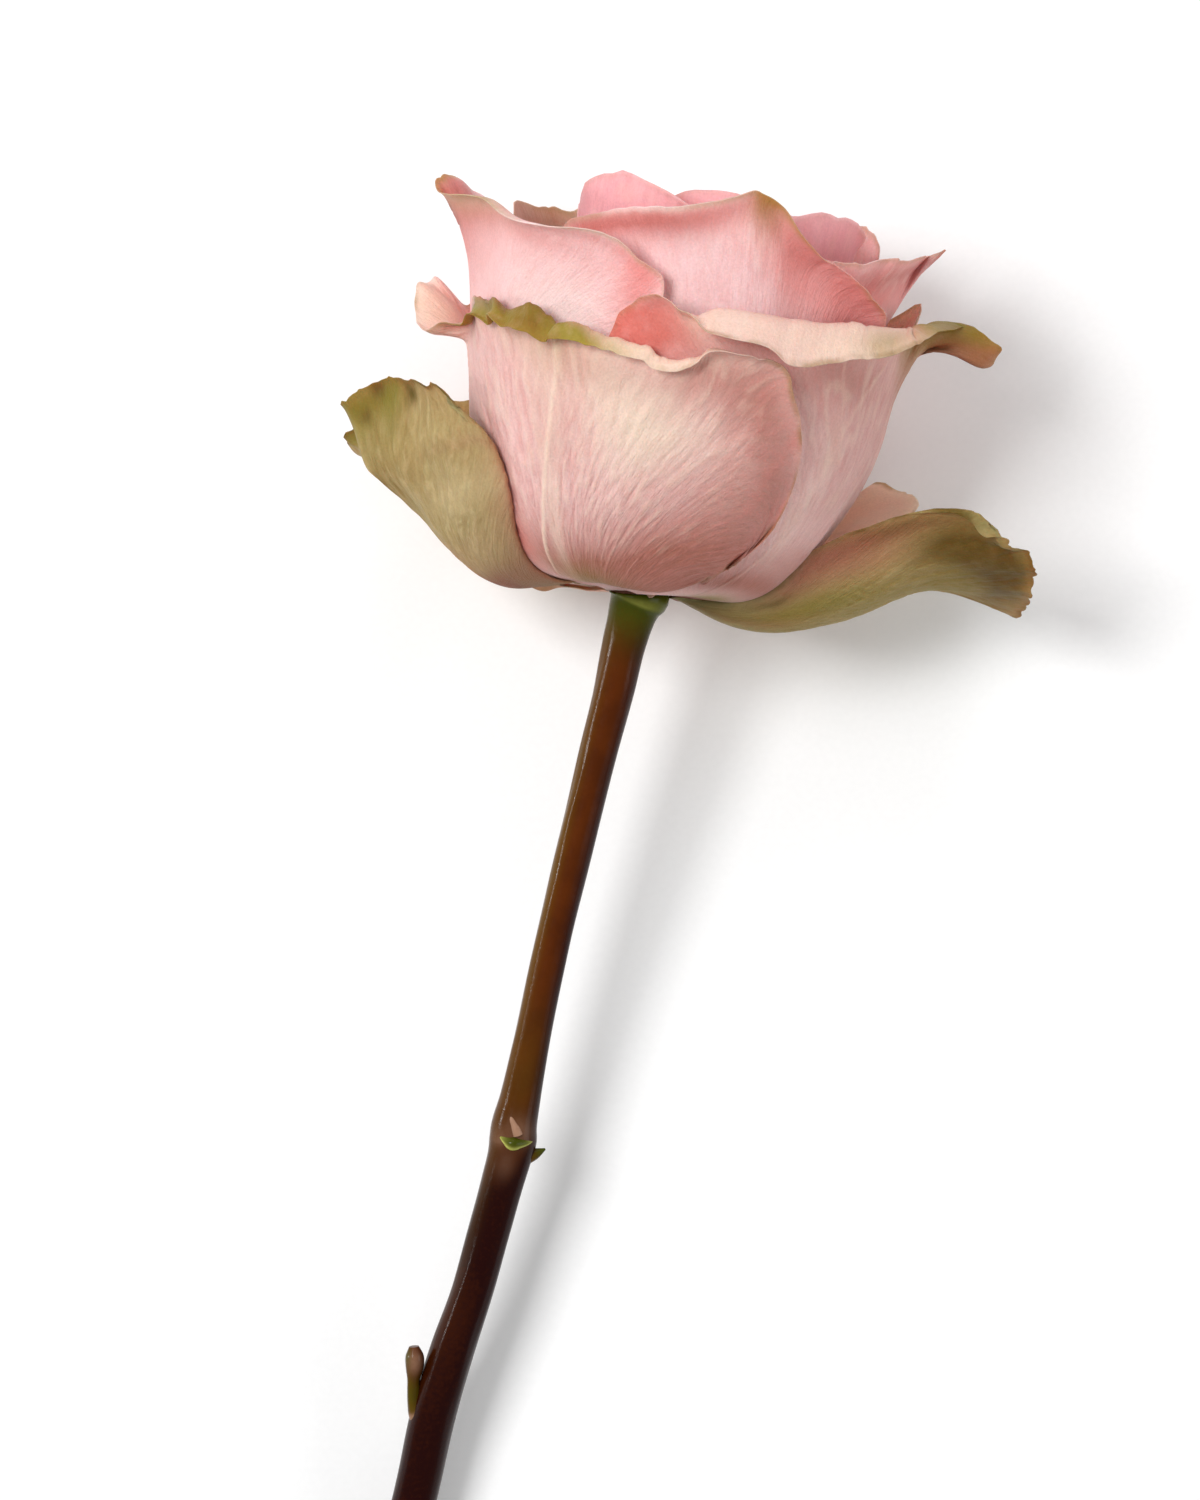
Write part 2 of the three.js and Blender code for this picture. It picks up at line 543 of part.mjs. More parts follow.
// Unit normals of a sheet, pointing away from the heart of the bloom
function sheetNormals(sheet) {
  return sheet.map((ray, i) =>
    ray.map((_, j) => {
      const before = sheet[Math.max(i - 1, 0)][j];
      const after = sheet[Math.min(i + 1, sheet.length - 1)][j];
      const below = ray[Math.max(j - 1, 0)];
      const above = ray[Math.min(j + 1, ray.length - 1)];
      return after.clone().sub(before).cross(above.clone().sub(below)).normalize();
    }),
  );
}

function waveAndPress(sheet, petal) {
  const normals = sheetNormals(sheet);
  sheet.forEach((ray, i) => {
    const a = spread(i, petal.columns);
    ray.forEach((point, j) => {
      const edge = Math.pow(j / (ray.length - 1), 3) * (1 - a ** 4);
      point.addScaledVector(normals[i][j], petal.wave * edge * Math.sin(petal.waves * Math.PI * a));
      const soft = (point.z - tableGap) / pressSoftness;
      if (soft < 20) point.z = tableGap + pressSoftness * Math.log1p(Math.exp(soft));
    });
  });
  return sheet;
}

function toSolid(points, faces) {
  return new wasm.Manifold(
    new wasm.Mesh({
      numProp: 3,
      vertProperties: new Float32Array(points.flatMap((p) => [p.x, p.y, p.z])),
      triVerts: new Uint32Array(faces.flat()),
    }),
  );
}

// A petal as a closed solid: its sheet thickened to both sides, both faces split alike
function petalSolid(settings) {
  const petal = { ...petalBase, ...settings };
  const sheet = waveAndPress(petalSheet(petal), petal);
  const normals = sheetNormals(sheet);
  const columns = sheet.length;
  const rows = sheet[0].length;
  const points = [];
  for (const half of [petalThickness / 2, -petalThickness / 2])
    sheet.forEach((ray, i) =>
      ray.forEach((p, j) => points.push(p.clone().addScaledVector(normals[i][j], half))),
    );
  const id = (i, j, back) => (back ? columns * rows : 0) + i * rows + j;
  const faces = [];
  for (let i = 0; i < columns - 1; i++)
    for (let j = 0; j < rows - 1; j++) {
      const [p, q, r, s] = [[i, j], [i + 1, j], [i + 1, j + 1], [i, j + 1]];
      faces.push([id(...p, 0), id(...q, 0), id(...r, 0)], [id(...p, 0), id(...r, 0), id(...s, 0)]);
      faces.push([id(...p, 1), id(...r, 1), id(...q, 1)], [id(...p, 1), id(...s, 1), id(...r, 1)]);
    }
  const rim = [];
  for (let i = 0; i < columns - 1; i++) rim.push([i, 0]);
  for (let j = 0; j < rows - 1; j++) rim.push([columns - 1, j]);
  for (let i = columns - 1; i > 0; i--) rim.push([i, rows - 1]);
  for (let j = rows - 1; j > 0; j--) rim.push([0, j]);
  rim.forEach((here, k) => {
    const next = rim[(k + 1) % rim.length];
    const [a, b, c, d] = [id(...here, 0), id(...here, 1), id(...next, 1), id(...next, 0)];
    faces.push([a, b, c], [a, c, d]);
  });
  return toSolid(points, faces);
}

// A closed tube through rings of points
function tubeSolid(rings) {
  const sides = rings[0].length;
  const points = rings.flat();
  const faces = [];
  for (let k = 0; k < rings.length - 1; k++)
    for (let i = 0; i < sides; i++) {
      const a = k * sides + i;
      const b = k * sides + ((i + 1) % sides);
      faces.push([a, b, b + sides], [a, b + sides, a + sides]);
    }
  const last = (rings.length - 1) * sides;
  for (let i = 1; i < sides - 1; i++) {
    faces.push([0, i + 1, i]);
    faces.push([last, last + i, last + i + 1]);
  }
  return toSolid(points, faces);
}

function bloomRing(height, radius, sides) {
  const ring = [];
  for (let i = 0; i < sides; i++) {
    const angle = (i / sides) * 2 * Math.PI;
    ring.push(inBloom(-Math.sin(angle) * radius, Math.cos(angle) * radius, height));
  }
  return ring;
}

// Rings round a line of [x, y, z, radius], each square to the line
function lineRings(line, sides) {
  const centres = line.map(([x, y, z]) => new THREE.Vector3(x, y, z));
  const curve = new THREE.CatmullRomCurve3(centres, false, "centripetal");
  return line.map(([, , , radius], k) => {
    const ahead = curve.getTangent(k / (line.length - 1)).normalize();
    const side = new THREE.Vector3(0, 0, 1).cross(ahead).normalize();
    const top = new THREE.Vector3().crossVectors(ahead, side);
    return Array.from({ length: sides }, (_, i) => {
      const angle = (-i / sides) * 2 * Math.PI;
      return centres[k]
        .clone()
        .addScaledVector(side, Math.sin(angle) * radius)
        .addScaledVector(top, Math.cos(angle) * radius);
    });
  });
}

function stemSolid() {
  const seat = seatRings.map(([height, radius]) => bloomRing(height, radius, stemSides));
  const stem = tubeSolid([...seat, ...lineRings(stemLine, stemSides)]);
  const shoot = tubeSolid(lineRings(shootLine, shootSides));
  const prickle = tubeSolid(lineRings(prickleLine, prickleSides));
  const bud = tubeSolid(lineRings(budLine, shootSides));
  return stem.add(shoot).add(prickle).add(bud);
}

function bloomSolid() {
  const petals = [...outerPetals, ...middlePetals];
  for (const ring of innerRings)
    for (let i = 0; i < ring.count; i++)
      petals.push({ ...ring.petal, at: ring.start + (360 * i) / ring.count, pulls: ring.pulls?.[i] ?? [] });
  const coreRings = coreProfile.map(([height, radius]) => bloomRing(height, radius, coreSides));
  const core = tubeSolid(coreRings.reverse());
  // pockets that the joined roots close off are filled, and no scrap stays loose
  const joined = wasm.Manifold.union([core, ...petals.map(petalSolid)]).simplify(weldTolerance).decompose();
  return joined.reduce((most, body) => (body.volume() > most.volume() ? body : most));
}

function toMesh(name, solid, colour) {
  const mesh = solid.getMesh();
  const geometry = new THREE.BufferGeometry();
  geometry.setAttribute("position", new THREE.BufferAttribute(new Float32Array(mesh.vertProperties), 3));
  geometry.setIndex(new THREE.BufferAttribute(new Uint32Array(mesh.triVerts), 1));
  const flat = mergeVertices(geometry, 1e-4).toNonIndexed();
  flat.computeVertexNormals();
  const made = new THREE.Mesh(flat, new THREE.MeshStandardMaterial({ ...colours[colour], metalness: 0 }));
  made.name = name;
  return made;
}

const rose = new THREE.Group();
rose.name = "cutRose";
rose.add(toMesh("stem", stemSolid(), "stem"));
rose.add(toMesh("bloom", bloomSolid(), "petal"));
for (const [name, petal] of Object.entries(guards)) rose.add(toMesh(name, petalSolid(petal), "guard"));

// Stand the frame's origin under the middle of the whole flower, on the table
const bounds = new THREE.Box3().setFromObject(rose);
const middle = bounds.getCenter(new THREE.Vector3());
for (const mesh of rose.children) mesh.geometry.translate(-middle.x, -middle.y, -bounds.min.z);

export default rose;
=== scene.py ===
# A cut pink rose lying on a pale table, seen from straight above.
# Each petal starts as a grid that is bent round the flower's axis and gets its thickness from Solidify.
# Sizes are written in millimetres and become metres when a mesh is filled.
import math

import bpy
import numpy as np
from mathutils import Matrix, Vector


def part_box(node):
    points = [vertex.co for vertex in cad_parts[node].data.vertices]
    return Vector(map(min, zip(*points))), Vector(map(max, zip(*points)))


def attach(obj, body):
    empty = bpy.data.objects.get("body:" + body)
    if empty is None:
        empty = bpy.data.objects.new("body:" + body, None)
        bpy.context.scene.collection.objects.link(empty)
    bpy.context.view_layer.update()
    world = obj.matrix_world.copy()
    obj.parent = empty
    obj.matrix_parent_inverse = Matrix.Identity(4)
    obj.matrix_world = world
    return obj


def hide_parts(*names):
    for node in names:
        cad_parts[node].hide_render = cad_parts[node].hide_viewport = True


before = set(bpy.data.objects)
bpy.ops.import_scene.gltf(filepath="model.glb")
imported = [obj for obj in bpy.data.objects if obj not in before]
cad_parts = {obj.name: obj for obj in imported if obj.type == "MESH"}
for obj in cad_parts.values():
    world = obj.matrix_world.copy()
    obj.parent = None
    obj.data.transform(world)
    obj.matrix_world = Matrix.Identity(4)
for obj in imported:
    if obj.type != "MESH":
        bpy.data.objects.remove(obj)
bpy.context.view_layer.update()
print("frame loaded with", len(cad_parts), "nodes")

# The drawing starts under the photograph's middle. The stem's corner tells how far the frame moved it.
stemCorner = np.array([10.587, 24.175, 35.912])
shift = np.array(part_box("stem")[1]) * 1000 - stemCorner

flower = {
    "base": (6.27, 24.75, 31.5), "tiltRight": 8, "tiltUp": 8,  # where the bloom sits and how it leans
    "drift": 2, "driftHeight": 30,  # the cup's middle slides right as it rises
    "cupRadius": 33, "cupArc": 58,  # the cup that the middle lines below were drawn for
    "cupLean": (100, 80, 60, 47, 34, 24, 17, 10, 5, 3, 2),  # degrees off the axis, from root to rim
    "lapRise": 0.5, "lapTurn": 72, "leastRadius": 4,  # how neighbours climb over each other
    "tableGap": 0.35, "pressSoftness": 0.6,  # petals that reach the table are pressed flat on it
}
tiltRight, tiltUp = math.radians(flower["tiltRight"]), math.radians(flower["tiltUp"])
alongBloom = np.array([
    math.sin(tiltRight) * math.cos(tiltUp), math.cos(tiltRight) * math.cos(tiltUp), math.sin(tiltUp)])
rightOfBloom = np.array([math.cos(tiltRight), -math.sin(tiltRight), 0.0])
frontOfBloom = np.cross(rightOfBloom, alongBloom)


# Small sums that the petals and the stem share
def ease(t):
    t = np.clip(t, 0, 1)
    return t * t * (3 - 2 * t)


def keyed(keys, t, eased=True):  # a value between evenly spaced keys
    keys = np.asarray(keys, float)
    place = np.clip(t, 0, 1) * (len(keys) - 1)
    low = np.minimum(place.astype(int), len(keys) - 2)
    part = place - low
    if eased:
        part = ease(part)
    return keys[low] * (1 - part) + keys[low + 1] * part


def noise(u, v, seed):  # smooth noise from -1 to 1 on a seeded lattice
    size = 128
    table = np.random.RandomState(seed).rand(size, size) * 2 - 1
    i, j = np.floor(u).astype(int), np.floor(v).astype(int)
    fu, fv = ease(u - i), ease(v - j)
    low = table[i % size, j % size] * (1 - fu) + table[(i + 1) % size, j % size] * fu
    high = table[i % size, (j + 1) % size] * (1 - fu) + table[(i + 1) % size, (j + 1) % size] * fu
    return low * (1 - fv) + high * fv


def softSpot(a, t, across, along, wide, long):  # 1 in its middle and fading all round
    return np.exp(-((a - across) / wide) ** 2 - ((t - along) / long) ** 2)


def spots(rows, a, t):
    total = np.zeros(np.broadcast(a, t).shape)
    for across, along, wide, long, strength in rows:
        total += strength * softSpot(a, t, across, along, wide, long)
    return total


def inBloom(toRight, toFront, height):
    return (np.array(flower["base"]) + np.multiply.outer(toRight, rightOfBloom)
            + np.multiply.outer(toFront, frontOfBloom) + np.multiply.outer(height, alongBloom))


# Pieces are added and finished here
def deselectAll():
    bpy.ops.object.select_all(action="DESELECT")


def addGrid(name, columns, rows):  # a grid from -1 to 1 and each corner's column and row
    deselectAll()
    bpy.ops.mesh.primitive_grid_add(x_subdivisions=columns, y_subdivisions=rows, size=2)
    piece = bpy.context.object
    piece.name = piece.data.name = name
    flat = np.empty(len(piece.data.vertices) * 3)
    piece.data.vertices.foreach_get("co", flat)
    flat = flat.reshape(-1, 3)
    column = np.rint((flat[:, 0] + 1) / 2 * columns).astype(int)
    row = np.rint((flat[:, 1] + 1) / 2 * rows).astype(int)
    return piece, column, row


def fillPoints(piece, points):
    piece.data.vertices.foreach_set("co", ((points + shift) / 1000).ravel())
    piece.data.update()


def addField(piece, name, values):
    field = piece.data.attributes.new(name, "FLOAT", "POINT")
    field.data.foreach_set("value", np.ascontiguousarray(values, np.float32))


sheetEdge = {"steps": 20, "thinnest": 0.35, "thinningRate": 2.5}  # petals get thin towards their margin


def thicken(piece, thickness, thin):
    bpy.context.view_layer.objects.active = piece
    solid = piece.modifiers.new("thickness", "SOLIDIFY")
    solid.thickness = thickness / 1000
    solid.offset = 0
    solid.material_offset = 1
    group = piece.vertex_groups.new(name="thin")
    for step in range(sheetEdge["steps"] + 1):
        here = np.nonzero(np.rint(thin * sheetEdge["steps"]) == step)[0]
        if len(here):
            group.add(here.tolist(), step / sheetEdge["steps"], "REPLACE")
    solid.vertex_group = "thin"
    solid.thickness_vertex_group = sheetEdge["thinnest"]
    bpy.ops.object.modifier_apply(modifier="thickness")


def finishPiece(piece, node, materials):
    for material in materials:
        piece.data.materials.append(material)
    deselectAll()
    piece.select_set(True)
    bpy.context.view_layer.objects.active = piece
    bpy.ops.object.shade_smooth()
    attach(piece, "root")
    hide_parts(node)


# Petals. Lists such as top, turn and depth run from a petal's left margin to its right one, and
# lean and trough from its root to its tip. Angles are in degrees.
# A pull moves a soft patch: where it is across and along the petal, how wide and long it is, and
# how far it goes in x, y and z. A tint has the same first four numbers and a strength. The deep-pink
# tints give the petals' own blush and also paint shade at roots, lower edges and under rolled lips;
# the salmon tints mostly paint the warm shade of overlaps and crevices, and some cream tints paint
# light on shaded parts.
petalDefaults = {
    "at": 0, "radius": 32.2, "root": 5.3, "height": 1.5, "length": 60,  # where it grows, and how far
    "fanLeft": 56, "fanRight": 56, "claw": 4,  # its breadth, and half the width of its foot
    "level": 0, "spiral": (0, 0),  # how far it stands off the cup, and how much more at its sides
    "lean": None, "trough": None, "cross": 0,  # a line and a hollow of its own, off the cup
    "flare": 0, "flareFrom": 0.75, "flareSide": (1, 1, 1),  # how it opens out near its tip
    "top": (1, 1, 1), "tip": 0, "tipAt": 0, "tipWide": 0.12, "blunt": 7, "shoulder": 0.5,  # its outline
    "turn": (0, 0), "depth": (5, 5), "crisp": 1,  # how its margin rolls back
    "wave": 0, "waves": 5, "ragged": 0.006, "crinkle": 0.25,  # its margin's waves, notches and ruffles
    "wrinkle": 0.07, "wrinkles": 30, "wrinkleSide": (1, 1), "calmEdge": 2,  # veins in relief
    "crease": 0, "creaseLine": (0, 0),  # one long fold, from root to tip
    "pulls": (), "blushAndShade": (), "salmon": (), "cream": (), "green": (), "olive": (),
    "columns": 50, "rows": 36, "thickness": 0.42, "seed": 1,
}
petalSettings = {
    "guardPetalLeft": {  # stands away on the left and shows its hollow side
        "at": -100, "height": -2, "length": 54, "fanLeft": 32, "fanRight": 34, "claw": 3.4,
        "blunt": 9, "lean": (102, 92, 60, 44, 44, 54), "trough": (12, 15, 18, 22, 26), "cross": 1,
        "turn": (10, 10), "depth": (4, 4), "wave": 0.9, "waves": 7, "columns": 120, "rows": 90,
        "crinkle": 0.35, "ragged": 0.009, "wrinkle": 0.13, "wrinkles": 38, "seed": 8,
        "pulls": (
            (0, 0, 2, 0.05, 0, 2.3, 1.3), (0, 0.08, 2, 0.06, 0.7, 2.5, -0.9),
            (0, 0.17, 1, 0.08, 0.2, 1.9, 0.3), (0, 0.27, 1, 0.08, 0.2, 0.4, -0.7),
            (1, 0.25, 0.1, 0.2, -1.8, 0.9, -2.4), (1, 0.5, 0.1, 0.2, -1.4, -0.7, -5.6),
            (1, 0.75, 0.1, 0.2, -2.3, -1.5, -5), (1, 1, 0.1, 0.2, 3.3, -0.2, 1.2),
            (0.85, 0.5, 0.25, 0.22, 3.3, 2.7, 9), (0.85, 0.71, 0.35, 0.18, 3.8, 2.3, 6.5),
            (0.85, 0.85, 0.3, 0.12, 1.4, 2.3, 2.4), (0.85, 1, 0.25, 0.12, 0, 1.6, 0.3),
            (0.6, 1, 0.16, 0.14, 4.9, 2.2, 1.2), (0.36, 1, 0.14, 0.14, 4.8, 5.3, 2.9),
            (0.16, 1, 0.1, 0.12, -0.4, 2.3, 3.9), (0.05, 1, 0.06, 0.12, -0.8, 1.1, 3.3),
            (-0.03, 1, 0.04, 0.1, -0.1, -1.8, 2.7), (-0.12, 1, 0.06, 0.12, -2.1, -3.5, 3.3),
            (-0.26, 1, 0.1, 0.14, -3.1, -4.6, 1.9), (-0.5, 1, 0.2, 0.2, -2.7, -5.8, 2.7),
            (-0.05, 0.8, 0.3, 0.12, -3.9, -0.4, 8.6), (1, 0.6, 0.3, 0.4, 1.4, 0, -2.6),
            (1, 0.25, 0.25, 0.15, 1.6, 0.4, 0), (0.27, 0.98, 0.03, 0.1, 0, -0.2, -0.9),
            (0.45, 0.96, 0.03, 0.08, 0, -0.3, -0.8), (0.67, 0.91, 0.035, 0.07, -0.4, -0.3, -0.7),
            (0.73, 0.82, 0.06, 0.035, -0.7, -0.3, -0.7), (0.57, 0.95, 0.06, 0.08, 0.3, 0.2, 0.2),
            (0.72, 0.76, 0.06, 0.05, 0.5, 0.2, 0.3),
        ),
        # The tint patches at the right margin (across about 1) paint the warm red-brown shade of the
        # crevice against the front petal.
        "blushAndShade": (
            (0.1, 0.22, 0.9, 0.12, 0.9), (-0.45, 0.34, 0.35, 0.12, 1),
            (-0.9, 0.42, 0.25, 0.16, 0.8), (0.2, 0.32, 0.6, 0.07, 0.7),
            (0.78, 0.79, 0.234, 0.022, 0.3), (1, 0.25, 0.2, 0.2, 0.5),
        ),
        "salmon": (
            (1, 0.25, 0.2, 0.2, 0.8), (0.95, 0.62, 0.16, 0.2, 1), (-0.14, 0.44, 0.75, 0.09, 0.4),
        ),
        "cream": ((0.62, 0.65, 0.24, 0.065, 0.35),),
        "green": (
            (0.15, 0.97, 0.17, 0.107, 1), (0.35, 0.97, 0.085, 0.114, 0.8),
            (-0.1, 0.98, 0.072, 0.071, 0.8),
        ),
        "olive": (
            (-0.05, 1, 0.2, 0.04, 0.6), (0.5, 1, 0.3, 0.03, 0.5), (0.28, 0.99, 0.026, 0.034, 1),
            (0.47, 0.96, 0.034, 0.029, 0.9), (0.17, 0.93, 0.039, 0.019, 0.7),
        ),
    },
    "guardPetalRight": {  # hangs out to the right in a long curve
        "at": 100, "height": -3, "length": 58, "fanLeft": 30, "fanRight": 28, "claw": 3.4,
        "blunt": 6, "lean": (106, 98, 72, 62, 86, 98), "trough": (12, 15, 17, 20, 24), "cross": 1,
        "turn": (10, 10), "depth": (4, 4), "wave": 0.5, "shoulder": 0.92, "columns": 120,
        "rows": 90, "crinkle": 0.35, "ragged": 0.006, "wrinkle": 0.15, "wrinkles": 38, "seed": 9,
        "pulls": (
            (-1, 0.2, 0.4, 0.12, 5.2, 4, 3.4), (-1, 0.35, 0.4, 0.12, 1.9, 6.8, 3.5),
            (-1, 0.5, 0.4, 0.13, 4.3, 7.7, 3), (-1, 0.66, 0.35, 0.13, 4.8, 6.6, 0.9),
            (-1, 0.8, 0.3, 0.12, 5, 2.6, 0.8), (-1, 0.93, 0.25, 0.1, 0.6, 0.7, 0.3),
            (-1, 1, 0.1, 0.1, 0.1, -3.9, -0.6), (-0.86, 1, 0.1, 0.12, -3.4, -2.1, 0),
            (-0.72, 1, 0.1, 0.12, -0.9, 1.1, 0), (-0.5, 1, 0.12, 0.12, -1.4, 1.8, 1.2),
            (-0.28, 1, 0.12, 0.12, -0.7, 2.7, 1.8), (-0.08, 1, 0.12, 0.12, -0.8, 0.2, 1.9),
            (0.15, 1, 0.14, 0.14, -1.1, 0.7, 3.4), (0.5, 1, 0.3, 0.2, -1.3, 1.4, 2.1),
            (1, 1, 0.15, 0.2, -1.5, -6.2, 2.6), (1, 0.8, 0.25, 0.15, 6.8, -0.4, -1.2),
            (0, 0, 2, 0.05, -0.4, 2, -1.2), (0, 0.06, 2, 0.06, 0, 1.9, -0.8),
            (0, 0.13, 1, 0.08, 0.3, 0.8, 0.9), (-0.1, 0.21, 0.6, 0.1, 0.4, 0.7, 0.8),
            (-0.1, 0.5, 0.5, 0.15, -0.5, 1.5, -3), (-0.1, 0.71, 0.5, 0.15, 0, 3.1, -2),
            (-0.1, 0.85, 0.5, 0.12, -0.2, 1.1, -3.4), (-0.1, 0.31, 0.5, 0.12, 0.5, 1.1, 1.8),
            (-0.1, 0.4, 0.5, 0.1, 0.5, 0.7, 2.1), (0.8, 0.8, 0.3, 0.3, -4.3, -1.6, 1.3),
            (-1, 0.3, 0.4, 0.25, -0.9, 0.4, -5),
        ),
        "blushAndShade": (
            (-0.87, 0.49, 0.141, 0.152, 0.85), (-0.87, 0.31, 0.164, 0.126, 0.6),
            (-0.88, 0.69, 0.05, 0.126, 0.5), (-0.53, 0.22, 0.109, 0.172, 0.5),
        ),
        "salmon": ((-0.75, 0.52, 0.079, 0.138, 0.3), (-0.91, 0.31, 0.167, 0.126, 0.6)),
        "green": (
            (-0.59, 0.33, 0.097, 0.209, 0.7), (-0.42, 0.59, 0.214, 0.214, 0.5),
            (-0.47, 0.8, 0.607, 0.103, 0.6), (-0.54, 0.97, 0.267, 0.034, 0.7),
        ),
        "olive": (
            (-0.75, 0.74, 0.111, 0.095, 0.9), (-0.44, 0.93, 0.41, 0.086, 1),
            (-0.67, 0.85, 0.187, 0.086, 0.8), (-0.91, 0.61, 0.051, 0.119, 0.5),
            (-0.73, 0.23, 0.049, 0.063, 0.6),
        ),
    },
    "guardPetalBackRight": {  # shows in part behind the right one
        "at": 143, "height": -2, "length": 48, "fanLeft": 23, "fanRight": 26, "claw": 2.6,
        "blunt": 5, "lean": (98, 86, 64, 54, 54, 60), "trough": (14, 22, 30, 40, 50), "cross": 1,
        "depth": (4, 4), "wave": 0.6, "waves": 6, "columns": 70, "rows": 50,
        "pulls": (
            (-0.85, 0.8, 0.3, 0.25, 1.7, 3.6, 1), (-0.8, 1, 0.16, 0.2, 3.3, -0.9, 1.8),
            (-0.58, 1, 0.14, 0.2, 0.4, 1.4, 2.6), (-0.38, 1, 0.14, 0.2, -0.3, 2.5, 0.7),
            (0, 0.08, 3, 0.12, 0, 1.9, 0),
        ),
        # The cream, pushed past full strength, paints this shaded petal lighter, as if lit.
        "cream": ((0, 0.8, 1, 0.6, 2),),
    },
    "guardPetalBackLeft": {  # hidden but for a sliver
        "at": -150, "height": -3, "length": 48, "fanLeft": 28, "fanRight": 28, "claw": 2.6,
        "blunt": 5, "lean": (104, 94, 66, 54, 54, 62), "trough": (14, 22, 30, 40, 50), "cross": 1,
        "depth": (4, 4), "wave": 0.6, "waves": 6, "columns": 70, "rows": 50,
        "pulls": (
            (0, 0, 3, 0.07, 0.2, 2.1, 0.3), (0, 0.1, 3, 0.08, -0.4, 1.7, 0.6),
            (0, 0.22, 3, 0.1, -0.6, 2, 0.9), (0, 0.35, 3, 0.1, -0.3, 1.4, 0.4),
        ),
        "cream": ((0, 0.6, 1, 0.6, 1),),
        "green": ((0, 0.5, 1, 0.6, 0.3),),
    },
    "outerPetalFrontLeft": {  # the broad front petal with the green rim
        "at": -32, "length": 59.5, "fanLeft": 61, "fanRight": 48, "level": 1.8, "spiral": (0, 0.5),
        "crisp": 0.8, "top": (1, 1.24, 1.08, 0.97, 0.985, 1.07, 1),
        "turn": (10, 60, 80, 150, 150, 50, 0), "depth": (6, 12, 9, 5, 4.5, 4, 2), "columns": 240,
        "rows": 160, "seed": 3, "crease": 0.28,
        "creaseLine": (
            -0.9, -0.6, -0.27, -0.18, -0.137, -0.092, -0.069, -0.055, -0.046, -0.04, -0.025, -0.01,
            0,
        ),
        "wrinkleSide": (0.2, 0.25, 1.1, 1.2, 1, 0.7, 0.5), "wrinkle": 0.2,
        "pulls": (
            (-0.92, 1, 0.05, 0.12, -4.5, 19.3, 2.9), (-0.86, 1, 0.05, 0.12, -3.6, 10.4, 6.1),
            (-0.8, 1, 0.05, 0.12, -3.3, 7.7, 6), (-0.75, 1, 0.05, 0.12, -5, 6.6, 9.4),
            (-0.68, 1, 0.05, 0.14, -5.2, 3.1, 9.5), (-0.62, 1, 0.05, 0.14, -4.1, -1.7, 6.7),
            (-0.56, 1, 0.05, 0.14, -2.7, -4.3, 4.9), (-0.5, 1, 0.05, 0.14, -1.3, -5.8, 1.7),
            (-0.43, 1, 0.05, 0.1, 1.7, -4.1, 1.2), (-0.37, 1, 0.04, 0.08, 2, -3.6, -1.2),
            (-0.29, 1, 0.05, 0.07, 4.3, -5.8, 0.8), (-0.2, 1, 0.05, 0.07, 2.2, -3.1, 2.8),
            (-0.12, 1, 0.04, 0.07, 0.5, -1.3, 0.4), (-0.05, 1, 0.04, 0.07, -0.6, -1.1, -0.5),
            (0.02, 1, 0.04, 0.07, -2.6, -0.2, -1.6), (0.1, 1, 0.05, 0.07, -0.7, -0.2, -0.3),
            (0.18, 1, 0.05, 0.08, -0.9, -0.6, -0.2), (0.25, 1, 0.05, 0.08, 0.2, -1.2, -0.1),
            (0.31, 1, 0.05, 0.08, -0.5, -1.2, -0.3), (0.37, 1, 0.05, 0.08, 0.2, 0, 0.2),
            (0.43, 1, 0.05, 0.08, -1.7, 0.3, -0.1), (0.49, 1, 0.05, 0.1, -3.5, 2, 0.9),
            (-0.35, 0.9, 0.05, 0.06, -1.3, 2.1, 1.4), (-0.27, 0.9, 0.05, 0.06, -1, 1.3, -1.4),
            (-0.19, 0.9, 0.05, 0.06, -1.5, 1.5, -2.2), (-0.1, 0.9, 0.05, 0.06, -1.4, 3.4, -1.5),
            (-0.02, 0.9, 0.05, 0.06, -1, 2.1, -0.7), (0.07, 0.9, 0.06, 0.06, -1, 1.4, -0.5),
            (0.6, 1, 0.08, 0.25, -3.8, 0.2, 1.3), (0.72, 1, 0.08, 0.3, -3.7, 1, 2.9),
            (0.82, 1, 0.08, 0.3, -3.1, 0.1, 3), (0.9, 1, 0.07, 0.3, -1.6, 0.5, 2),
            (0.96, 1, 0.05, 0.3, -1.6, -0.2, 0.5), (1, 1, 0.06, 0.25, 1.2, 1.8, 1.4),
            (1, 0.62, 0.1, 0.2, 3.6, 4, 0.7), (1, 0.3, 0.2, 0.15, 4.2, 4.1, 0.1),
            (0.85, 0.1, 0.35, 0.1, 2.3, 2.3, 0.2), (0.3, 0.1, 0.3, 0.1, -0.3, 1.6, 0.2),
            (-0.17, 0.95, 0.04, 0.09, 0.15, -0.7, -0.6), (-0.25, 0.95, 0.045, 0.09, 0, 0.3, 0.5),
            (-0.1, 0.93, 0.055, 0.09, 0, 0.4, 0.8), (-0.03, 0.97, 0.035, 0.07, 0, -0.5, -0.5),
            (0.04, 0.96, 0.04, 0.06, 0, 0.2, 0.5), (0.13, 0.97, 0.04, 0.05, 0, -0.4, -0.4),
            (0.1, 0.07, 1.2, 0.07, 0, 1.1, 0), (-0.3, 0.1, 0.5, 0.1, 0, 1, 0),
            (1, 0.4, 0.15, 0.15, 0, 0, 0.6), (0.95, 0.2, 0.15, 0.12, 0, 0, 3.4),
            (0.97, 1, 0.2, 0.4, 0, 0, -1.6), (1, 0.15, 0.1, 0.06, 0, 0, 4.7),
            (1, 0.25, 0.1, 0.06, 0, 0, 2.3), (1, 0.35, 0.1, 0.06, 0, 0, 1.8),
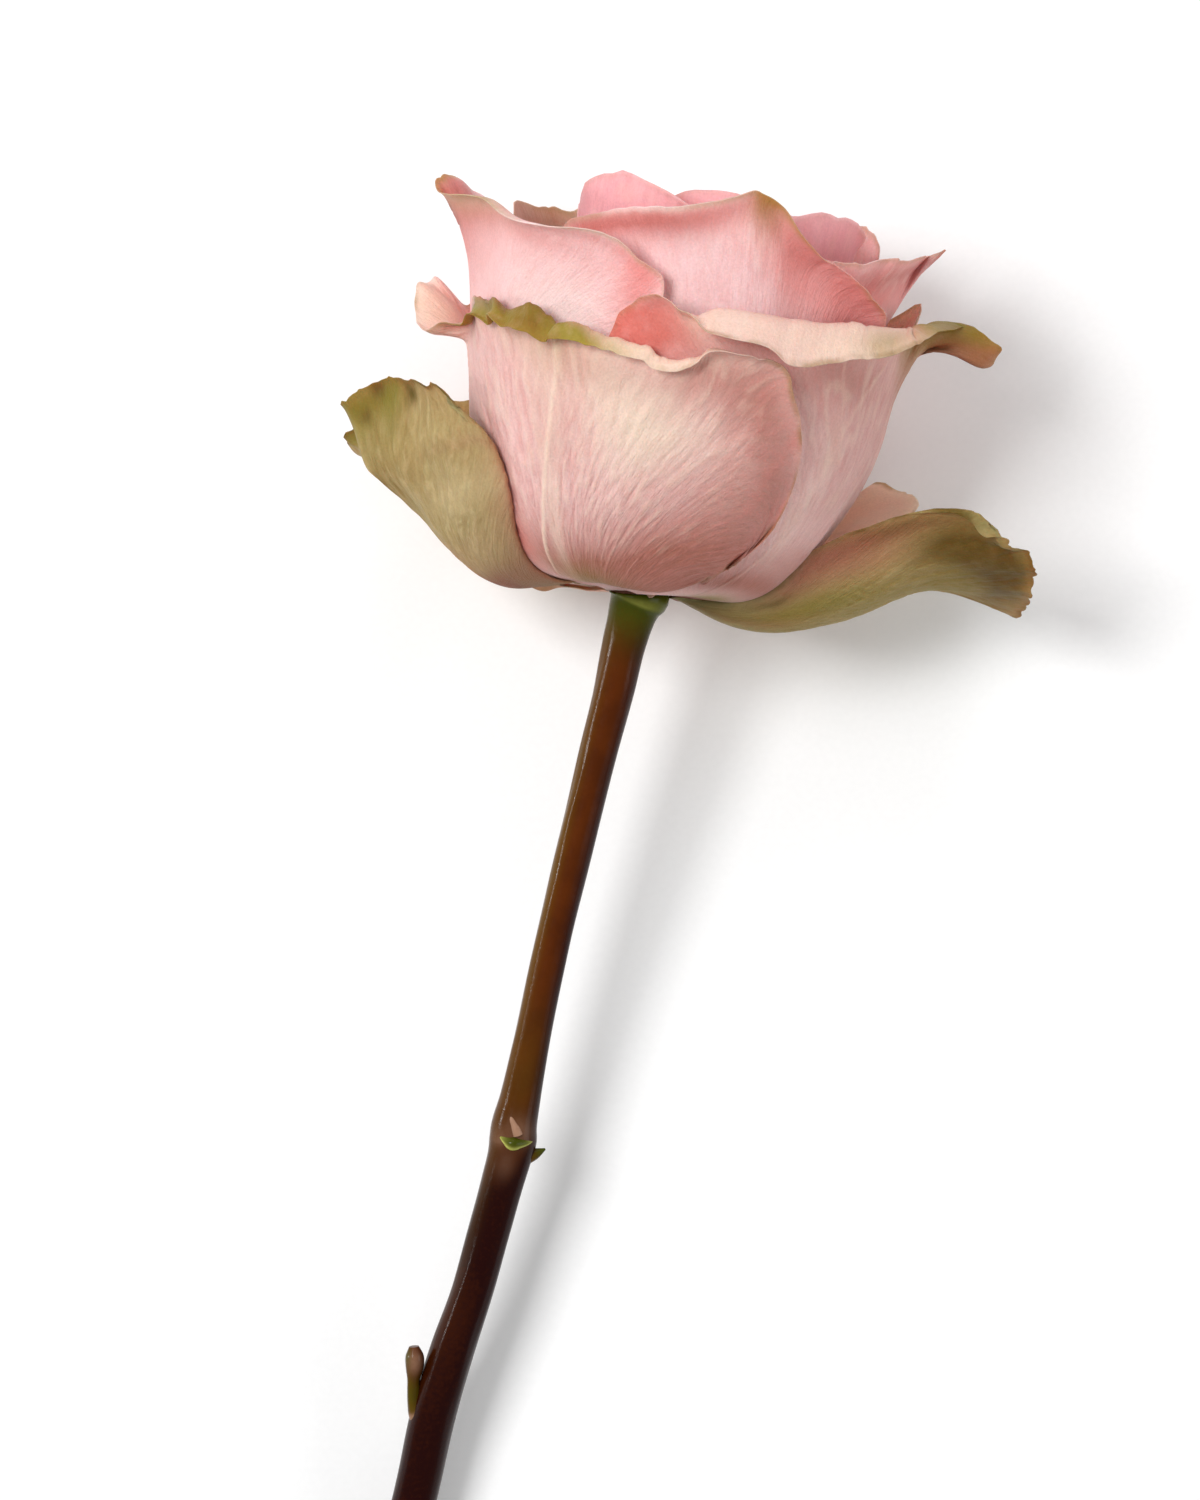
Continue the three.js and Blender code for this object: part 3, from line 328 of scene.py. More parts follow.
            (1, 0.45, 0.1, 0.06, 0, 0, -1), (1, 0.55, 0.1, 0.06, 0, 0, -0.8),
            (1, 0.65, 0.1, 0.06, 0, 0, -0.5), (1, 0.75, 0.1, 0.06, 0, 0, -0.4),
            (1, 0.85, 0.1, 0.06, 0, 0, -1.3), (1, 0.95, 0.1, 0.06, 0, 0, -1),
            (1, 0.97, 0.02, 0.05, 0, 0, -1.2),
        ),
        # The blush patches low on the petal, along its lower edge and down its right side paint shade
        # where the petal turns away from the light; the salmon at the left margin (across below -0.8)
        # paints the warm shade of the crevice beside the left guard petal.
        "blushAndShade": (
            (0.58, 0.9, 0.271, 0.116, 0.62), (0.75, 0.4, 0.4, 0.25, 0.4),
            (0.45, 0.27, 0.926, 0.163, 0.85), (1, 0.7, 0.3, 0.7, 0.5), (0.8, 0.12, 0.5, 0.1, 0.4),
            (-0.02, 0.27, 0.368, 0.083, 0.3), (0.12, 0.84, 0.136, 0.047, 0.3),
            (0.36, 0.96, 0.124, 0.3, 0.3), (0.9, 0.55, 0.35, 0.4, 0.35),
            (0.12, 0.63, 0.099, 0.186, 0.15), (-0.28, 0.72, 0.224, 0.143, 0.25),
            (-0.03, 0.65, 0.101, 0.157, 0.35), (0.12, 0.82, 0.146, 0.072, 0.3),
            (0, 0.1, 2, 0.05, 0.5),
        ),
        "salmon": (
            (0.84, 0.97, 0.021, 0.22, 0.25), (1, 0.7, 0.07, 0.5, 0.5),
            (-0.85, 0.79, 0.032, 0.162, 1), (-0.89, 0.72, 0.029, 0.266, 1),
            (-0.41, 0.36, 0.159, 0.129, 1),
        ),
        "cream": (
            (0.3, 0.72, 0.164, 0.13, 0.75), (0.14, 0.82, 0.13, 0.1, 0.45),
            (-0.07, 0.79, 0.071, 0.137, 0.35), (0.48, 0.73, 0.217, 0.076, 0.25),
            (-0.03, 0.42, 0.045, 0.207, 0.5), (0.25, 1, 0.3, 0.07, 1),
            (-0.62, 0.97, 0.13, 0.14, 0.9),
        ),
        "green": (
            (-0.89, 0.14, 0.21, 0.062, 0.3), (0.05, 0.21, 0.309, 0.076, 0.4),
            (-0.2, 1, 0.14, 0.12, 1), (-0.04, 1, 0.12, 0.12, 1), (-0.36, 1, 0.1, 0.06, 0.8),
            (0.06, 1, 0.1, 0.05, 0.6), (0.16, 1, 0.08, 0.03, 0.4),
        ),
        "olive": (
            (0.24, 0.22, 0.303, 0.06, 0.4), (-0.09, 0.98, 0.066, 0.018, 0.8),
            (-0.3, 0.87, 0.108, 0.019, 0.4), (-0.1, 0.93, 0.1, 0.04, 0.9),
            (-0.27, 0.93, 0.07, 0.04, 0.8), (-0.42, 1, 0.06, 0.03, 0.6),
        ),
    },
    "outerPetalFrontRight": {  # its right half rolls back into the beige lip and the curled tip
        "at": 60, "length": 65, "fanRight": 50, "level": 0.5, "spiral": (0, 1.6), "crisp": 0.6,
        "top": (1, 1.13, 1.06, 1, 1.02, 1.2, 1.1), "flare": 34, "flareSide": (0, 0.2, 1.15),
        "turn": (0, 0, 70, 140, 130, 100, 50, 20, 0), "depth": (2, 2, 5, 9, 10, 9, 12, 8, 4),
        "flareFrom": 0.8, "columns": 240, "rows": 160, "seed": 4, "crease": 0.09,
        "creaseLine": (
            -0.3, -0.35, -0.41, -0.33, -0.25, -0.19, -0.16, -0.135, -0.09, -0.02, 0.07, 0.1, 0.1,
        ),
        "wrinkleSide": (0.5, 0.6, 0.9, 0.8, 0.6), "wrinkle": 0.1,
        "pulls": (
            (0.29, 0.2, 0.45, 0.12, 0.8, -1.7, -3.1), (0.2, 0.08, 0.6, 0.07, 0.3, 0.2, -0.8),
            (-0.75, 1, 0.1, 0.2, 3.9, 1.8, 2.2), (-0.6, 1, 0.09, 0.2, 2.1, 1.4, 0.6),
            (-0.48, 1, 0.06, 0.12, -2.5, -0.7, -0.2), (-0.4, 1, 0.05, 0.08, -5, -2.1, 0.6),
            (-0.4, 0.89, 0.06, 0.06, -3.5, 3.4, 1.3), (-0.29, 1, 0.06, 0.08, -3, -2.1, 0.8),
            (-0.29, 0.89, 0.07, 0.06, 0.5, 1.7, 0.3), (-0.18, 1, 0.06, 0.08, -2.2, -0.8, 1.2),
            (-0.18, 0.89, 0.07, 0.06, 1.5, 1.1, -1.1), (-0.07, 1, 0.09, 0.08, -2.5, 1, 3.2),
            (-0.07, 0.89, 0.09, 0.06, 0.6, 1.7, 0.5), (0.04, 1, 0.08, 0.08, -1.1, 2.4, 2.9),
            (0.04, 0.89, 0.09, 0.06, 2.7, 1.6, -5.4), (0.13, 1, 0.07, 0.08, -1.4, 1.3, 3.9),
            (0.2, 1, 0.06, 0.1, -0.5, 1.7, 3.2), (0.28, 1, 0.06, 0.1, 2.1, 2.9, -4.8),
            (0.35, 1, 0.05, 0.1, 3.2, 1.8, 0), (0.42, 1, 0.05, 0.1, 6.8, -2.9, 2.4),
            (0.49, 1, 0.05, 0.1, 6.3, -7.4, 3.7), (0.57, 1, 0.06, 0.1, 5.9, -7.8, 6.9),
            (0.5, 0.9, 0.08, 0.08, 2.9, -0.3, 10.6), (0.35, 0.88, 0.08, 0.08, 2.1, 0.9, 3.8),
            (0.68, 1, 0.08, 0.12, 7.9, -9, 9.6), (0.8, 1, 0.12, 0.25, 5, -1.7, 3.8),
            (-0.2, 0.1, 1, 0.1, 0, 0.5, -0.6), (-0.5, 0.24, 0.25, 0.12, 0, 0, -3.3),
        ),
        # The blush just below the rolled lip (along about 0.75 to 0.8) paints its shadow, the blush
        # along the root and the lower edge paints shade, and the salmon at the upper left paints the
        # shaded outer face beside the lip.
        "blushAndShade": (
            (-0.14, 0.79, 0.243, 0.064, 0.4), (0.44, 0.75, 0.261, 0.139, 0.35),
            (-0.28, 0.24, 0.707, 0.06, 0.95), (0.24, 0.55, 0.602, 0.137, 0.2),
            (0.2, 0.33, 1.316, 0.051, 0.4), (-0.41, 0.87, 0.05, 0.042, 0.15),
            (0.73, 0.08, 1.182, 0.029, 0.5), (0.52, 1, 0.14, 0.2, 1), (0, 0.02, 2, 0.06, 1),
            (-0.1, 0.75, 0.5, 0.2, 0.3),
        ),
        "salmon": (
            (-0.63, 0.92, 0.123, 0.083, 1), (-0.73, 0.97, 0.079, 0.067, 0.8),
            (-0.51, 0.91, 0.08, 0.065, 0.25), (0.42, 0.95, 0.08, 0.1, 0.9),
            (-0.72, 0.96, 0.065, 0.066, 0.5), (-0.76, 0.99, 0.048, 0.067, 0.6),
        ),
        "cream": (
            (-0.2, 0.97, 0.2, 0.09, 0.75), (0, 0.97, 0.12, 0.07, 0.7), (-0.44, 0.97, 0.1, 0.1, 0.5),
            (0.84, 0.8, 0.047, 0.182, 0.2), (-0.12, 0.61, 0.046, 0.095, 0.3),
            (-0.19, 0.42, 0.059, 0.097, 0.3),
        ),
        "green": (
            (-0.03, 0.98, 0.07, 0.06, 0.3), (0.16, 0.98, 0.1, 0.08, 0.6),
            (0.26, 0.97, 0.07, 0.1, 1), (-0.15, 0.12, 0.35, 0.05, 0.8),
            (-0.03, 0.96, 0.078, 0.033, 0.25), (0.34, 1, 0.1, 0.16, 1),
        ),
        "olive": ((0.34, 1, 0.1, 0.16, 0.6), (0.5, 1, 0.1, 0.14, 0.5), (0.24, 1, 0.05, 0.03, 0.6)),
    },
    "outerPetalBackRight": {  # behind, on the table
        "at": 150, "length": 61, "fanLeft": 50, "fanRight": 50, "level": -0.8, "flare": 20,
        "flareSide": (0, 1, 1), "turn": (0, 0, 0, 90, 90, 80, 30), "depth": (5, 7, 9, 12, 11, 8, 5),
        "columns": 70, "rows": 50,
        "pulls": ((-0.5, 1, 0.1, 0.13, 5.9, 7.2, -4.5),),
        # The cream along the margin paints this shaded petal lighter.
        "cream": ((0, 1, 1, 0.3, 0.6),),
    },
    "outerPetalBackLeft": {  # behind, on the table
        "at": -150, "length": 61, "fanLeft": 44, "fanRight": 40, "level": -1.9, "flare": 16,
        "flareSide": (0, 1, 0), "turn": (0, 0, 0, 80, 80, 0, 0), "depth": (5, 8, 11, 12, 8, 6, 4),
        "columns": 70, "rows": 50,
    },
    "middlePetalLeft": {  # rises to the tip at the upper left
        "radius": 27.4, "height": 6.4, "root": 4.4, "claw": 3, "fanLeft": 30, "fanRight": 34,
        "spiral": (0, 0.2), "at": -80, "length": 71, "level": 1.5, "flare": 56, "flareFrom": 0.66,
        "flareSide": (1, 1, 0.15), "top": (1, 1, 1, 1, 1, 1.03, 0.9),
        "turn": (0, 0, 60, 10, 70, 30, 0), "depth": (5, 5, 8, 3, 6, 4, 3), "columns": 170,
        "rows": 115, "crinkle": 0.03, "seed": 5, "wrinkleSide": (1, 0.6, 0.5, 0.3, 0),
        "calmEdge": 6, "ragged": 0.003,
        "pulls": (
            (-0.75, 1, 0.12, 0.25, -0.4, -4.6, -1), (-0.5, 1, 0.12, 0.25, 3.2, -4.8, -7.5),
            (-0.3, 1, 0.1, 0.25, 2.1, 1, -6.9), (-0.15, 1, 0.07, 0.25, 0.2, 1.4, -0.4),
            (-0.05, 1, 0.06, 0.25, -1.3, 1.4, -1.6), (0.05, 1, 0.07, 0.25, -3, 1.3, -4.7),
            (0.14, 1, 0.07, 0.25, -3.4, 0.1, -8.2), (0.24, 1, 0.08, 0.2, 0.6, 0.7, 1.3),
            (0.33, 1, 0.08, 0.2, 0.3, -1.3, 0.6), (0.45, 1, 0.1, 0.2, 3.1, -2.9, 2.8),
            (0.58, 1, 0.1, 0.2, 2, -2.9, 0.8), (0.72, 1, 0.1, 0.25, 0.1, -4.4, -0.5),
            (0.86, 1, 0.1, 0.3, 1.3, 1.1, 0.4), (0, 0.7, 0.45, 0.25, -5.6, 0, 0),
            (0, 1, 0.3, 0.07, 1.2, 0, 0),
        ),
        # The blush near the tip paints the shade on its upper part, the salmon at the right margin
        # paints the shaded fold, and the broad cream patch (across 0.57) paints light on its shaded
        # lower part.
        "blushAndShade": (
            (0, 0.95, 0.255, 0.118, 0.75), (0.32, 0.92, 0.201, 0.04, 0.35),
            (0.02, 0.77, 0.258, 0.182, 0.4), (0.57, 0.98, 0.191, 0.025, 0.3),
            (0.1, 0.97, 0.074, 0.114, 0.3),
        ),
        "salmon": (
            (0.73, 1, 0.075, 0.149, 0.75), (0.63, 0.83, 0.18, 0.176, 0.12),
            (-0.79, 0.98, 0.18, 0.046, 0.2),
        ),
        "cream": ((0.57, 0.72, 0.274, 0.096, 0.7), (0.5, 1, 0.25, 0.012, 0.6)),
        "green": ((-0.2, 1, 0.2, 0.015, 0.7), (0.2, 1, 0.12, 0.07, 0.7)),
        "olive": ((0, 1, 0.1, 0.02, 0.8),),
    },
    "middlePetalFront": {  # the tall one behind the rim
        "radius": 27.4, "height": 6.4, "root": 4.4, "claw": 3, "fanLeft": 38, "fanRight": 28,
        "spiral": (1.6, 1.6), "at": 20, "length": 69.5, "tip": 3, "flare": 6, "flareFrom": 0.7,
        "top": (1, 1, 0.97, 1, 0.96, 0.94, 1), "turn": (0, 0, 20, 40, 110, 90, 20),
        "depth": (5, 5, 6, 3, 8, 7, 5), "columns": 170, "rows": 115, "crinkle": 0.01, "seed": 6,
        "wrinkleSide": (0.5, 1, 1, 0.3, 0), "wrinkle": 0.08, "calmEdge": 8, "ragged": 0.002,
        "pulls": (
            (-0.8, 1, 0.12, 0.25, 0, 3.9, -0.2), (-0.62, 1, 0.12, 0.25, 0.4, 0.4, 0.3),
            (-0.42, 1, 0.15, 0.25, 0.4, 1.4, 0.3), (-0.19, 1, 0.15, 0.25, -0.1, 1.5, 0.1),
            (0.02, 1, 0.08, 0.2, -2.4, -0.5, 0.5), (0.19, 1, 0.12, 0.25, -2.8, 0.7, 2),
            (0.42, 1, 0.15, 0.3, -3.1, 0.1, 3.9), (0.62, 1, 0.15, 0.3, -2.7, -1.3, 5.6),
            (0.85, 1, 0.15, 0.3, -1.1, -3.7, 4.4),
        ),
        # The blush at the upper left (across below -0.2) paints the shade under the neighbouring fold,
        # and the salmon on the right half paints its shade with the warm glow of light through the
        # petals.
        "blushAndShade": (
            (0.55, 0.6, 0.3, 0.4, 0.15), (-0.61, 0.98, 0.263, 0.035, 0.95),
            (-0.27, 0.96, 0.275, 0.045, 0.75), (0.25, 0.95, 0.206, 0.152, 0.9),
            (0.59, 0.96, 0.158, 0.104, 0.6),
        ),
        "salmon": ((0.67, 0.94, 0.27, 0.126, 0.6), (0.3, 0.87, 0.296, 0.046, 0.3)),
        "cream": ((-0.4, 1, 0.3, 0.012, 0.6),),
        "green": ((0, 1, 0.05, 0.02, 0.5),),
        "olive": ((0.03, 1, 0.09, 0.08, 0.95), (0.2, 1, 0.12, 0.015, 0.7)),
    },
    "middlePetalRight": {  # the pointed one at the right
        "radius": 27.4, "height": 6.4, "root": 4.4, "claw": 3, "fanLeft": 38, "fanRight": 34,
        "spiral": (1.6, 1.6), "at": 90, "length": 68, "tip": 3.5, "flare": 62, "flareFrom": 0.7,
        "flareSide": (0.4, 0.7, 1, 1), "turn": (0, 0, 0, 0, 0, 10, 10),
        "depth": (5, 5, 5, 3, 9, 9, 5), "tipAt": 0.2, "columns": 170, "rows": 115, "crinkle": 0.08,
        "seed": 7,
        "pulls": (
            (-0.62, 1, 0.15, 0.25, 1.1, -0.5, -2.1), (-0.42, 1, 0.12, 0.25, -1.6, -1.6, 1.6),
            (-0.19, 1, 0.12, 0.2, -2.5, -1.9, 5.4), (0, 1, 0.12, 0.18, -1.3, 0.7, -8.2),
            (0.17, 1, 0.12, 0.2, -1.2, 0.6, -2.4), (0.42, 1, 0.15, 0.3, 0.8, -4.6, 2.5),
            (0.65, 1, 0.15, 0.3, 3.3, -4.2, 2.9), (0.1, 0.84, 0.25, 0.14, 3.6, -1.3, 6.8),
        ),
        "blushAndShade": ((-0.07, 0.93, 0.442, 0.095, 0.85), (0.24, 0.98, 0.109, 0.053, 0.7)),
        "salmon": ((-0.07, 0.85, 0.412, 0.051, 0.5),),
        "olive": ((0.14, 1, 0.11, 0.027, 0.5),),
    },
    "middlePetalBackRight": {  # its side shows beside the pointed one
        "radius": 27.4, "height": 6.4, "root": 4.4, "claw": 3, "fanLeft": 38, "fanRight": 36,
        "spiral": (1.6, 1.1), "at": 151, "length": 64, "flare": 22, "flareFrom": 0.7,
        "flareSide": (0, 0.5, 1), "turn": (0, 0, 0, 0, 30, 80, 20), "depth": (5, 9, 3, 9, 5, 5, 5),
        "columns": 100, "rows": 70, "crinkle": 0.12,
        "pulls": (
            (-0.5, 1, 0.16, 0.12, -2.1, 6.5, -6.7), (-0.66, 1, 0.12, 0.12, 1.7, 5.5, -6.9),
            (-0.82, 1, 0.12, 0.14, 3.6, 10.1, -11.6),
        ),
        "blushAndShade": ((0, 1, 1, 0.3, 0.4),),
    },
    "middlePetalBackLeft": {  # its side curls out at the left
        "radius": 27.4, "height": 6.4, "root": 4.4, "claw": 3, "fanLeft": 38, "fanRight": 34,
        "spiral": (1.6, 0), "at": -144, "length": 65, "level": -0.5, "flare": 22, "flareFrom": 0.7,
        "flareSide": (0, 0.5, 1), "columns": 100, "rows": 70, "crinkle": 0.05, "ragged": 0.003,
        "pulls": (
            (0.19, 1, 0.12, 0.2, 1.6, -2.1, -2.3), (0.4, 1, 0.1, 0.2, 1.5, -0.3, -3),
            (0.58, 1, 0.1, 0.2, -1.2, 2.1, 4.2),
        ),
        "blushAndShade": ((0.4, 1, 0.4, 0.3, 0.6),),
        "cream": ((-0.2, 1, 0.5, 0.2, 0.8),),
        "green": ((0.3, 1, 0.5, 0.15, 0.6),),
    },
}
ringSettings = [  # from the widest ring to the closed heart
    {
        "count": 4, "start": -36,
        "ringPulls": (  # for each petal of the ring in turn
            ((0, 1, 0.35, 0.3, 0.6, 4.1, 0.6), (-0.55, 1, 0.25, 0.4, 3.2, -1.6, 0)),
            ((0, 1, 0.35, 0.3, 0.3, 2.1, 0.3),),
            (),
            ((0.35, 1, 0.6, 0.4, 5, -1.5, 0),),
        ),
        "petal": {
            "radius": 22.2, "height": 10, "root": 3.6, "length": 61, "fanLeft": 39, "fanRight": 39,
            "claw": 2.4, "flare": 3, "spiral": (1.5, 1.5), "turn": (0, 0, 0, 0, 40, 60, 0),
            "depth": (4, 4),
        },
    },
    {
        "count": 4, "start": 8,
        "ringPulls": (  # for each petal of the ring in turn
            ((0, 1, 0.35, 0.3, 0.5, 3.3, 0.5),),
        ),
        "petal": {
            "radius": 17.2, "height": 13, "root": 2.8, "length": 56, "fanLeft": 33, "fanRight": 33,
            "claw": 2, "flare": -5, "spiral": (1.5, 1.5), "turn": (0, 0, 0, 0, 20, 30, 0),
            "depth": (4, 4),
        },
    },
    {
        "count": 3, "start": 60,
        "petal": {
            "radius": 12.2, "height": 16.2, "root": 2, "length": 49, "fanLeft": 29, "fanRight": 29,
            "claw": 1.6, "flare": -13, "spiral": (1.2, 1.2), "depth": (4, 4),
        },
    },
    {
        "count": 3, "start": 100,
        "petal": {
            "radius": 7.4, "height": 18.8, "root": 1.2, "length": 41, "fanLeft": 22, "fanRight": 22,
            "claw": 1.1, "flare": -26, "spiral": (1, 1), "depth": (4, 4), "flareFrom": 0.55,
        },
    },
    {
        "count": 2, "start": 40,
        "petal": {
            "radius": 4.6, "height": 20, "root": 0.6, "length": 37, "fanLeft": 18, "fanRight": 18,
            "claw": 0.8, "flare": -30, "flareFrom": 0.5, "spiral": (0.9, 0.9), "depth": (4, 4),
        },
    },
]


middleSettings = {
    "step": 0.25, "smoothing": 10,
    "drawn": 1.25, "used": 1.2,  # the line runs on past a petal's length
}


def middleLine(petal, flare):  # how far out and how high a petal runs, and how it leans on the way
    step, smoothing = middleSettings["step"], middleSettings["smoothing"]
    run = np.arange(0, petal["length"] * middleSettings["drawn"], step)
    if petal["lean"]:
        lean = keyed(petal["lean"], run / petal["length"], False)
    else:
        cupRun = run * flower["cupRadius"] / (flower["cupArc"] * petal["radius"])
        lean = keyed(flower["cupLean"], cupRun, False)
    window = 2 * smoothing + 1
    lean = np.convolve(np.pad(lean, smoothing, "edge"), np.ones(window) / window, "valid")
    opening = ease((run / petal["length"] - petal["flareFrom"]) / (1 - petal["flareFrom"]))
    lean = np.radians(lean + flare * opening)
    middle = (lean[1:] + lean[:-1]) / 2
    out = petal["root"] + np.concatenate([[0], np.cumsum(np.sin(middle) * step)])
    up = petal["height"] + np.concatenate([[0], np.cumsum(np.cos(middle) * step)])
    return run, out, up, lean


def bendOnCup(petal):  # returns the function that lays flat petal points on the curved petal
    plain, flared = middleLine(petal, 0), middleLine(petal, petal["flare"])
    turn = math.radians(petal["at"])
    leftLap, rightLap = petal["spiral"]

    def lay(x, y, a):
        share = keyed(petal["flareSide"], (a + 1) / 2)
        along = np.clip(y, 0, petal["length"] * middleSettings["used"])

        def blended(k):
            closed = np.interp(along, plain[0], plain[k])
            opened = np.interp(along, flared[0], flared[k])
            return closed * (1 - share) + opened * share

        out, up, lean = blended(1), blended(2), blended(3)
        if petal["trough"]:
            bend = keyed([1 / radius for radius in petal["trough"]], y / petal["length"], False)
        else:
            bend = 1 / out
        angle = bend * x
        inward = (1 - np.cos(angle)) / bend
        tilt = petal["cross"] * lean
        lap = np.where(x < 0, leftLap, rightLap) * x / np.maximum(out, flower["leastRadius"])
        lap = lap / math.radians(flower["lapTurn"])
        lift = petal["level"] + flower["lapRise"] * np.clip(a, 0, 1) ** 4 + lap
        fromAxis = out - inward * np.cos(tilt) + lift * np.cos(lean) * np.cos(angle)
        aside = np.sin(angle) / bend + lift * np.cos(lean) * np.sin(angle)
        height = up + inward * np.sin(tilt) - lift * np.sin(lean)
        toFront = fromAxis * math.cos(turn) - aside * math.sin(turn)
        toRight = fromAxis * math.sin(turn) + aside * math.cos(turn)
        return inBloom(toRight + flower["drift"] * ease(height / flower["driftHeight"]), toFront, height)

    return lay


sheetSettings = {
    "crowdAcross": 1.2, "crowdAlong": 1.3,  # cells get smaller towards the margin
    "notches": 17, "smallNotches": 41, "smallShare": 0.7,  # how often the margin is notched
    "shortest": 3, "deepestRoll": 0.8,  # the shortest ray, and the most of a ray that can roll
    "rollSteps": 96, "rollEase": 1.2,
    "nudge": 0.25, "swing": 0.02,  # steps in mm and radians that tell which way the fold faces
    "footWidth": 4, "marginReach": 6,  # how the distance from the margin is told
}


def petalOutline(petal, a):  # the length, roll and direction of each ray of a petal
    key = (a + 1) / 2
    dome = np.sqrt(np.maximum(1 - np.abs(a) ** petal["blunt"], 0))
    crown = petal["shoulder"] + (1 - petal["shoulder"]) * dome
    reach = crown * keyed(petal["top"], key)
    tip = np.exp(-((a - petal["tipAt"]) / petal["tipWide"]) ** 2)
    reach = reach + petal["tip"] / petal["length"] * tip
    notches = noise(a * sheetSettings["notches"], a * 0, petal["seed"] + 5)
    smallNotches = noise(a * sheetSettings["smallNotches"], a * 0, petal["seed"] + 6)
    notches = notches + sheetSettings["smallShare"] * smallNotches
    reach = reach + petal["ragged"] * notches * (1 - a ** 8)
    length = sheetSettings["shortest"] + (petal["length"] - sheetSettings["shortest"]) * reach
    depth = np.minimum(keyed(petal["depth"], key), length * sheetSettings["deepestRoll"])
    turn = np.radians(keyed(petal["turn"], key))
    fan = np.radians(np.where(a < 0, petal["fanLeft"], petal["fanRight"]))
    return length, depth, turn, fan


def rollMargin(points, distance, length, depth, turn, crisp, onRay):  # it rolls outwards past its fold
    fold = length - depth
    start = onRay(fold)
    ahead = start - onRay(fold - sheetSettings["nudge"])
    ahead /= np.linalg.norm(ahead, axis=1)[:, None]
    outward = np.cross(onRay(fold, sheetSettings["swing"]) - onRay(fold, -sheetSettings["swing"]), ahead)
    outward /= np.linalg.norm(outward, axis=1)[:, None]
    steps = sheetSettings["rollSteps"]
    run = np.linspace(0, 1, steps + 1)
    share = np.minimum((run[1:] + run[:-1]) / 2 / crisp, 1) ** sheetSettings["rollEase"]
    for i in range(len(points)):
        past = np.nonzero(distance[i] > fold[i])[0]
        if not len(past):
            continue
        bend = turn[i] * share
        forward = np.concatenate([[0], np.cumsum(np.cos(bend))]) * depth[i] / steps
        rise = np.concatenate([[0], np.cumsum(np.sin(bend))]) * depth[i] / steps
        place = (distance[i, past] - fold[i]) / depth[i]
        points[i, past] = (start[i] + np.interp(place, run, forward)[:, None] * ahead[i]
                           + np.interp(place, run, rise)[:, None] * outward[i])


veinSettings = {
    "rootSpread": 0.3,  # veins stand closer at the root and lean towards the margin
    "waver": 0.35, "waverAcross": 9, "waverAlong": 7,
    "sway": 3, "along": 13, "slant": 3,  # coarse puckers between the veins, then fine ones
    "fineTimes": 2.1, "fineSway": 5, "fineAlong": 22, "fineSlant": 5, "share": 0.7,
    "from": 0.1, "over": 0.45,  # they rise out of the smooth root
    "sideSlope": 3, "sideStart": 1.8,  # their colour fades towards a petal's sides
}
creaseSettings = {
    "wide": 0.012, "from": 0.05, "over": 0.3, "valley": 0.7, "valleyAt": 2.5, "valleyWide": 1.6,
    "cream": 3, "mostCream": 0.8,
}
ruffleSettings = {
    "reach": 2.4, "wide": 4.2, "long": 5.2,
    "smallWide": 1.9, "smallLong": 2.6, "smallShare": 0.6,
}


def petalVeins(petal, across, along):  # where a point lies among the veins, and their relief
    seed = petal["seed"]
    vein = across / (veinSettings["rootSpread"] + (1 - veinSettings["rootSpread"]) * along)
    waver = veinSettings["waver"] * noise(
        vein * veinSettings["waverAcross"], along * veinSettings["waverAlong"], seed + 1)
    pucker = noise(
        vein * petal["wrinkles"] + waver * veinSettings["sway"],
        along * veinSettings["along"] + across * veinSettings["slant"], seed + 2)
    fine = noise(
        vein * petal["wrinkles"] * veinSettings["fineTimes"] + waver * veinSettings["fineSway"],
        along * veinSettings["fineAlong"] + across * veinSettings["fineSlant"], seed + 3)
    return vein, (1 - 2 * np.abs(pucker)) * veinSettings["share"] + fine * veinSettings["share"]


def petalCrease(petal, across, along):  # one long fold with a cream crest, and its relief
    aside = (across - keyed(petal["creaseLine"], along, False)) / creaseSettings["wide"]
    creased = np.exp(-aside ** 2) * ease((along - creaseSettings["from"]) / creaseSettings["over"])
    valley = np.exp(-((aside + creaseSettings["valleyAt"]) / creaseSettings["valleyWide"]) ** 2)
    return creased, petal["crease"] * (creased - creaseSettings["valley"] * valley)


def petalRuffle(petal, sideways, distance, fromMargin):  # small curls that die away from the margin
    seed = petal["seed"]
    broad = noise(sideways / ruffleSettings["wide"] + 7, distance / ruffleSettings["long"], seed + 4)
    small = noise(
        sideways / ruffleSettings["smallWide"], distance / ruffleSettings["smallLong"], seed + 7)
    curl = np.exp(-fromMargin / ruffleSettings["reach"])
    return petal["crinkle"] * curl * (broad + ruffleSettings["smallShare"] * small)


def pressOnTable(points):  # what would sink into the table lies softly on it
    gap, softness = flower["tableGap"], flower["pressSoftness"]
    free = 20  # from here up, in softnesses above the gap, nothing changes
    soft = (points[..., 2] - gap) / softness
    pressed = gap + softness * np.log1p(np.exp(np.clip(soft, -50, free)))
    points[..., 2] = np.where(soft < free, pressed, points[..., 2])


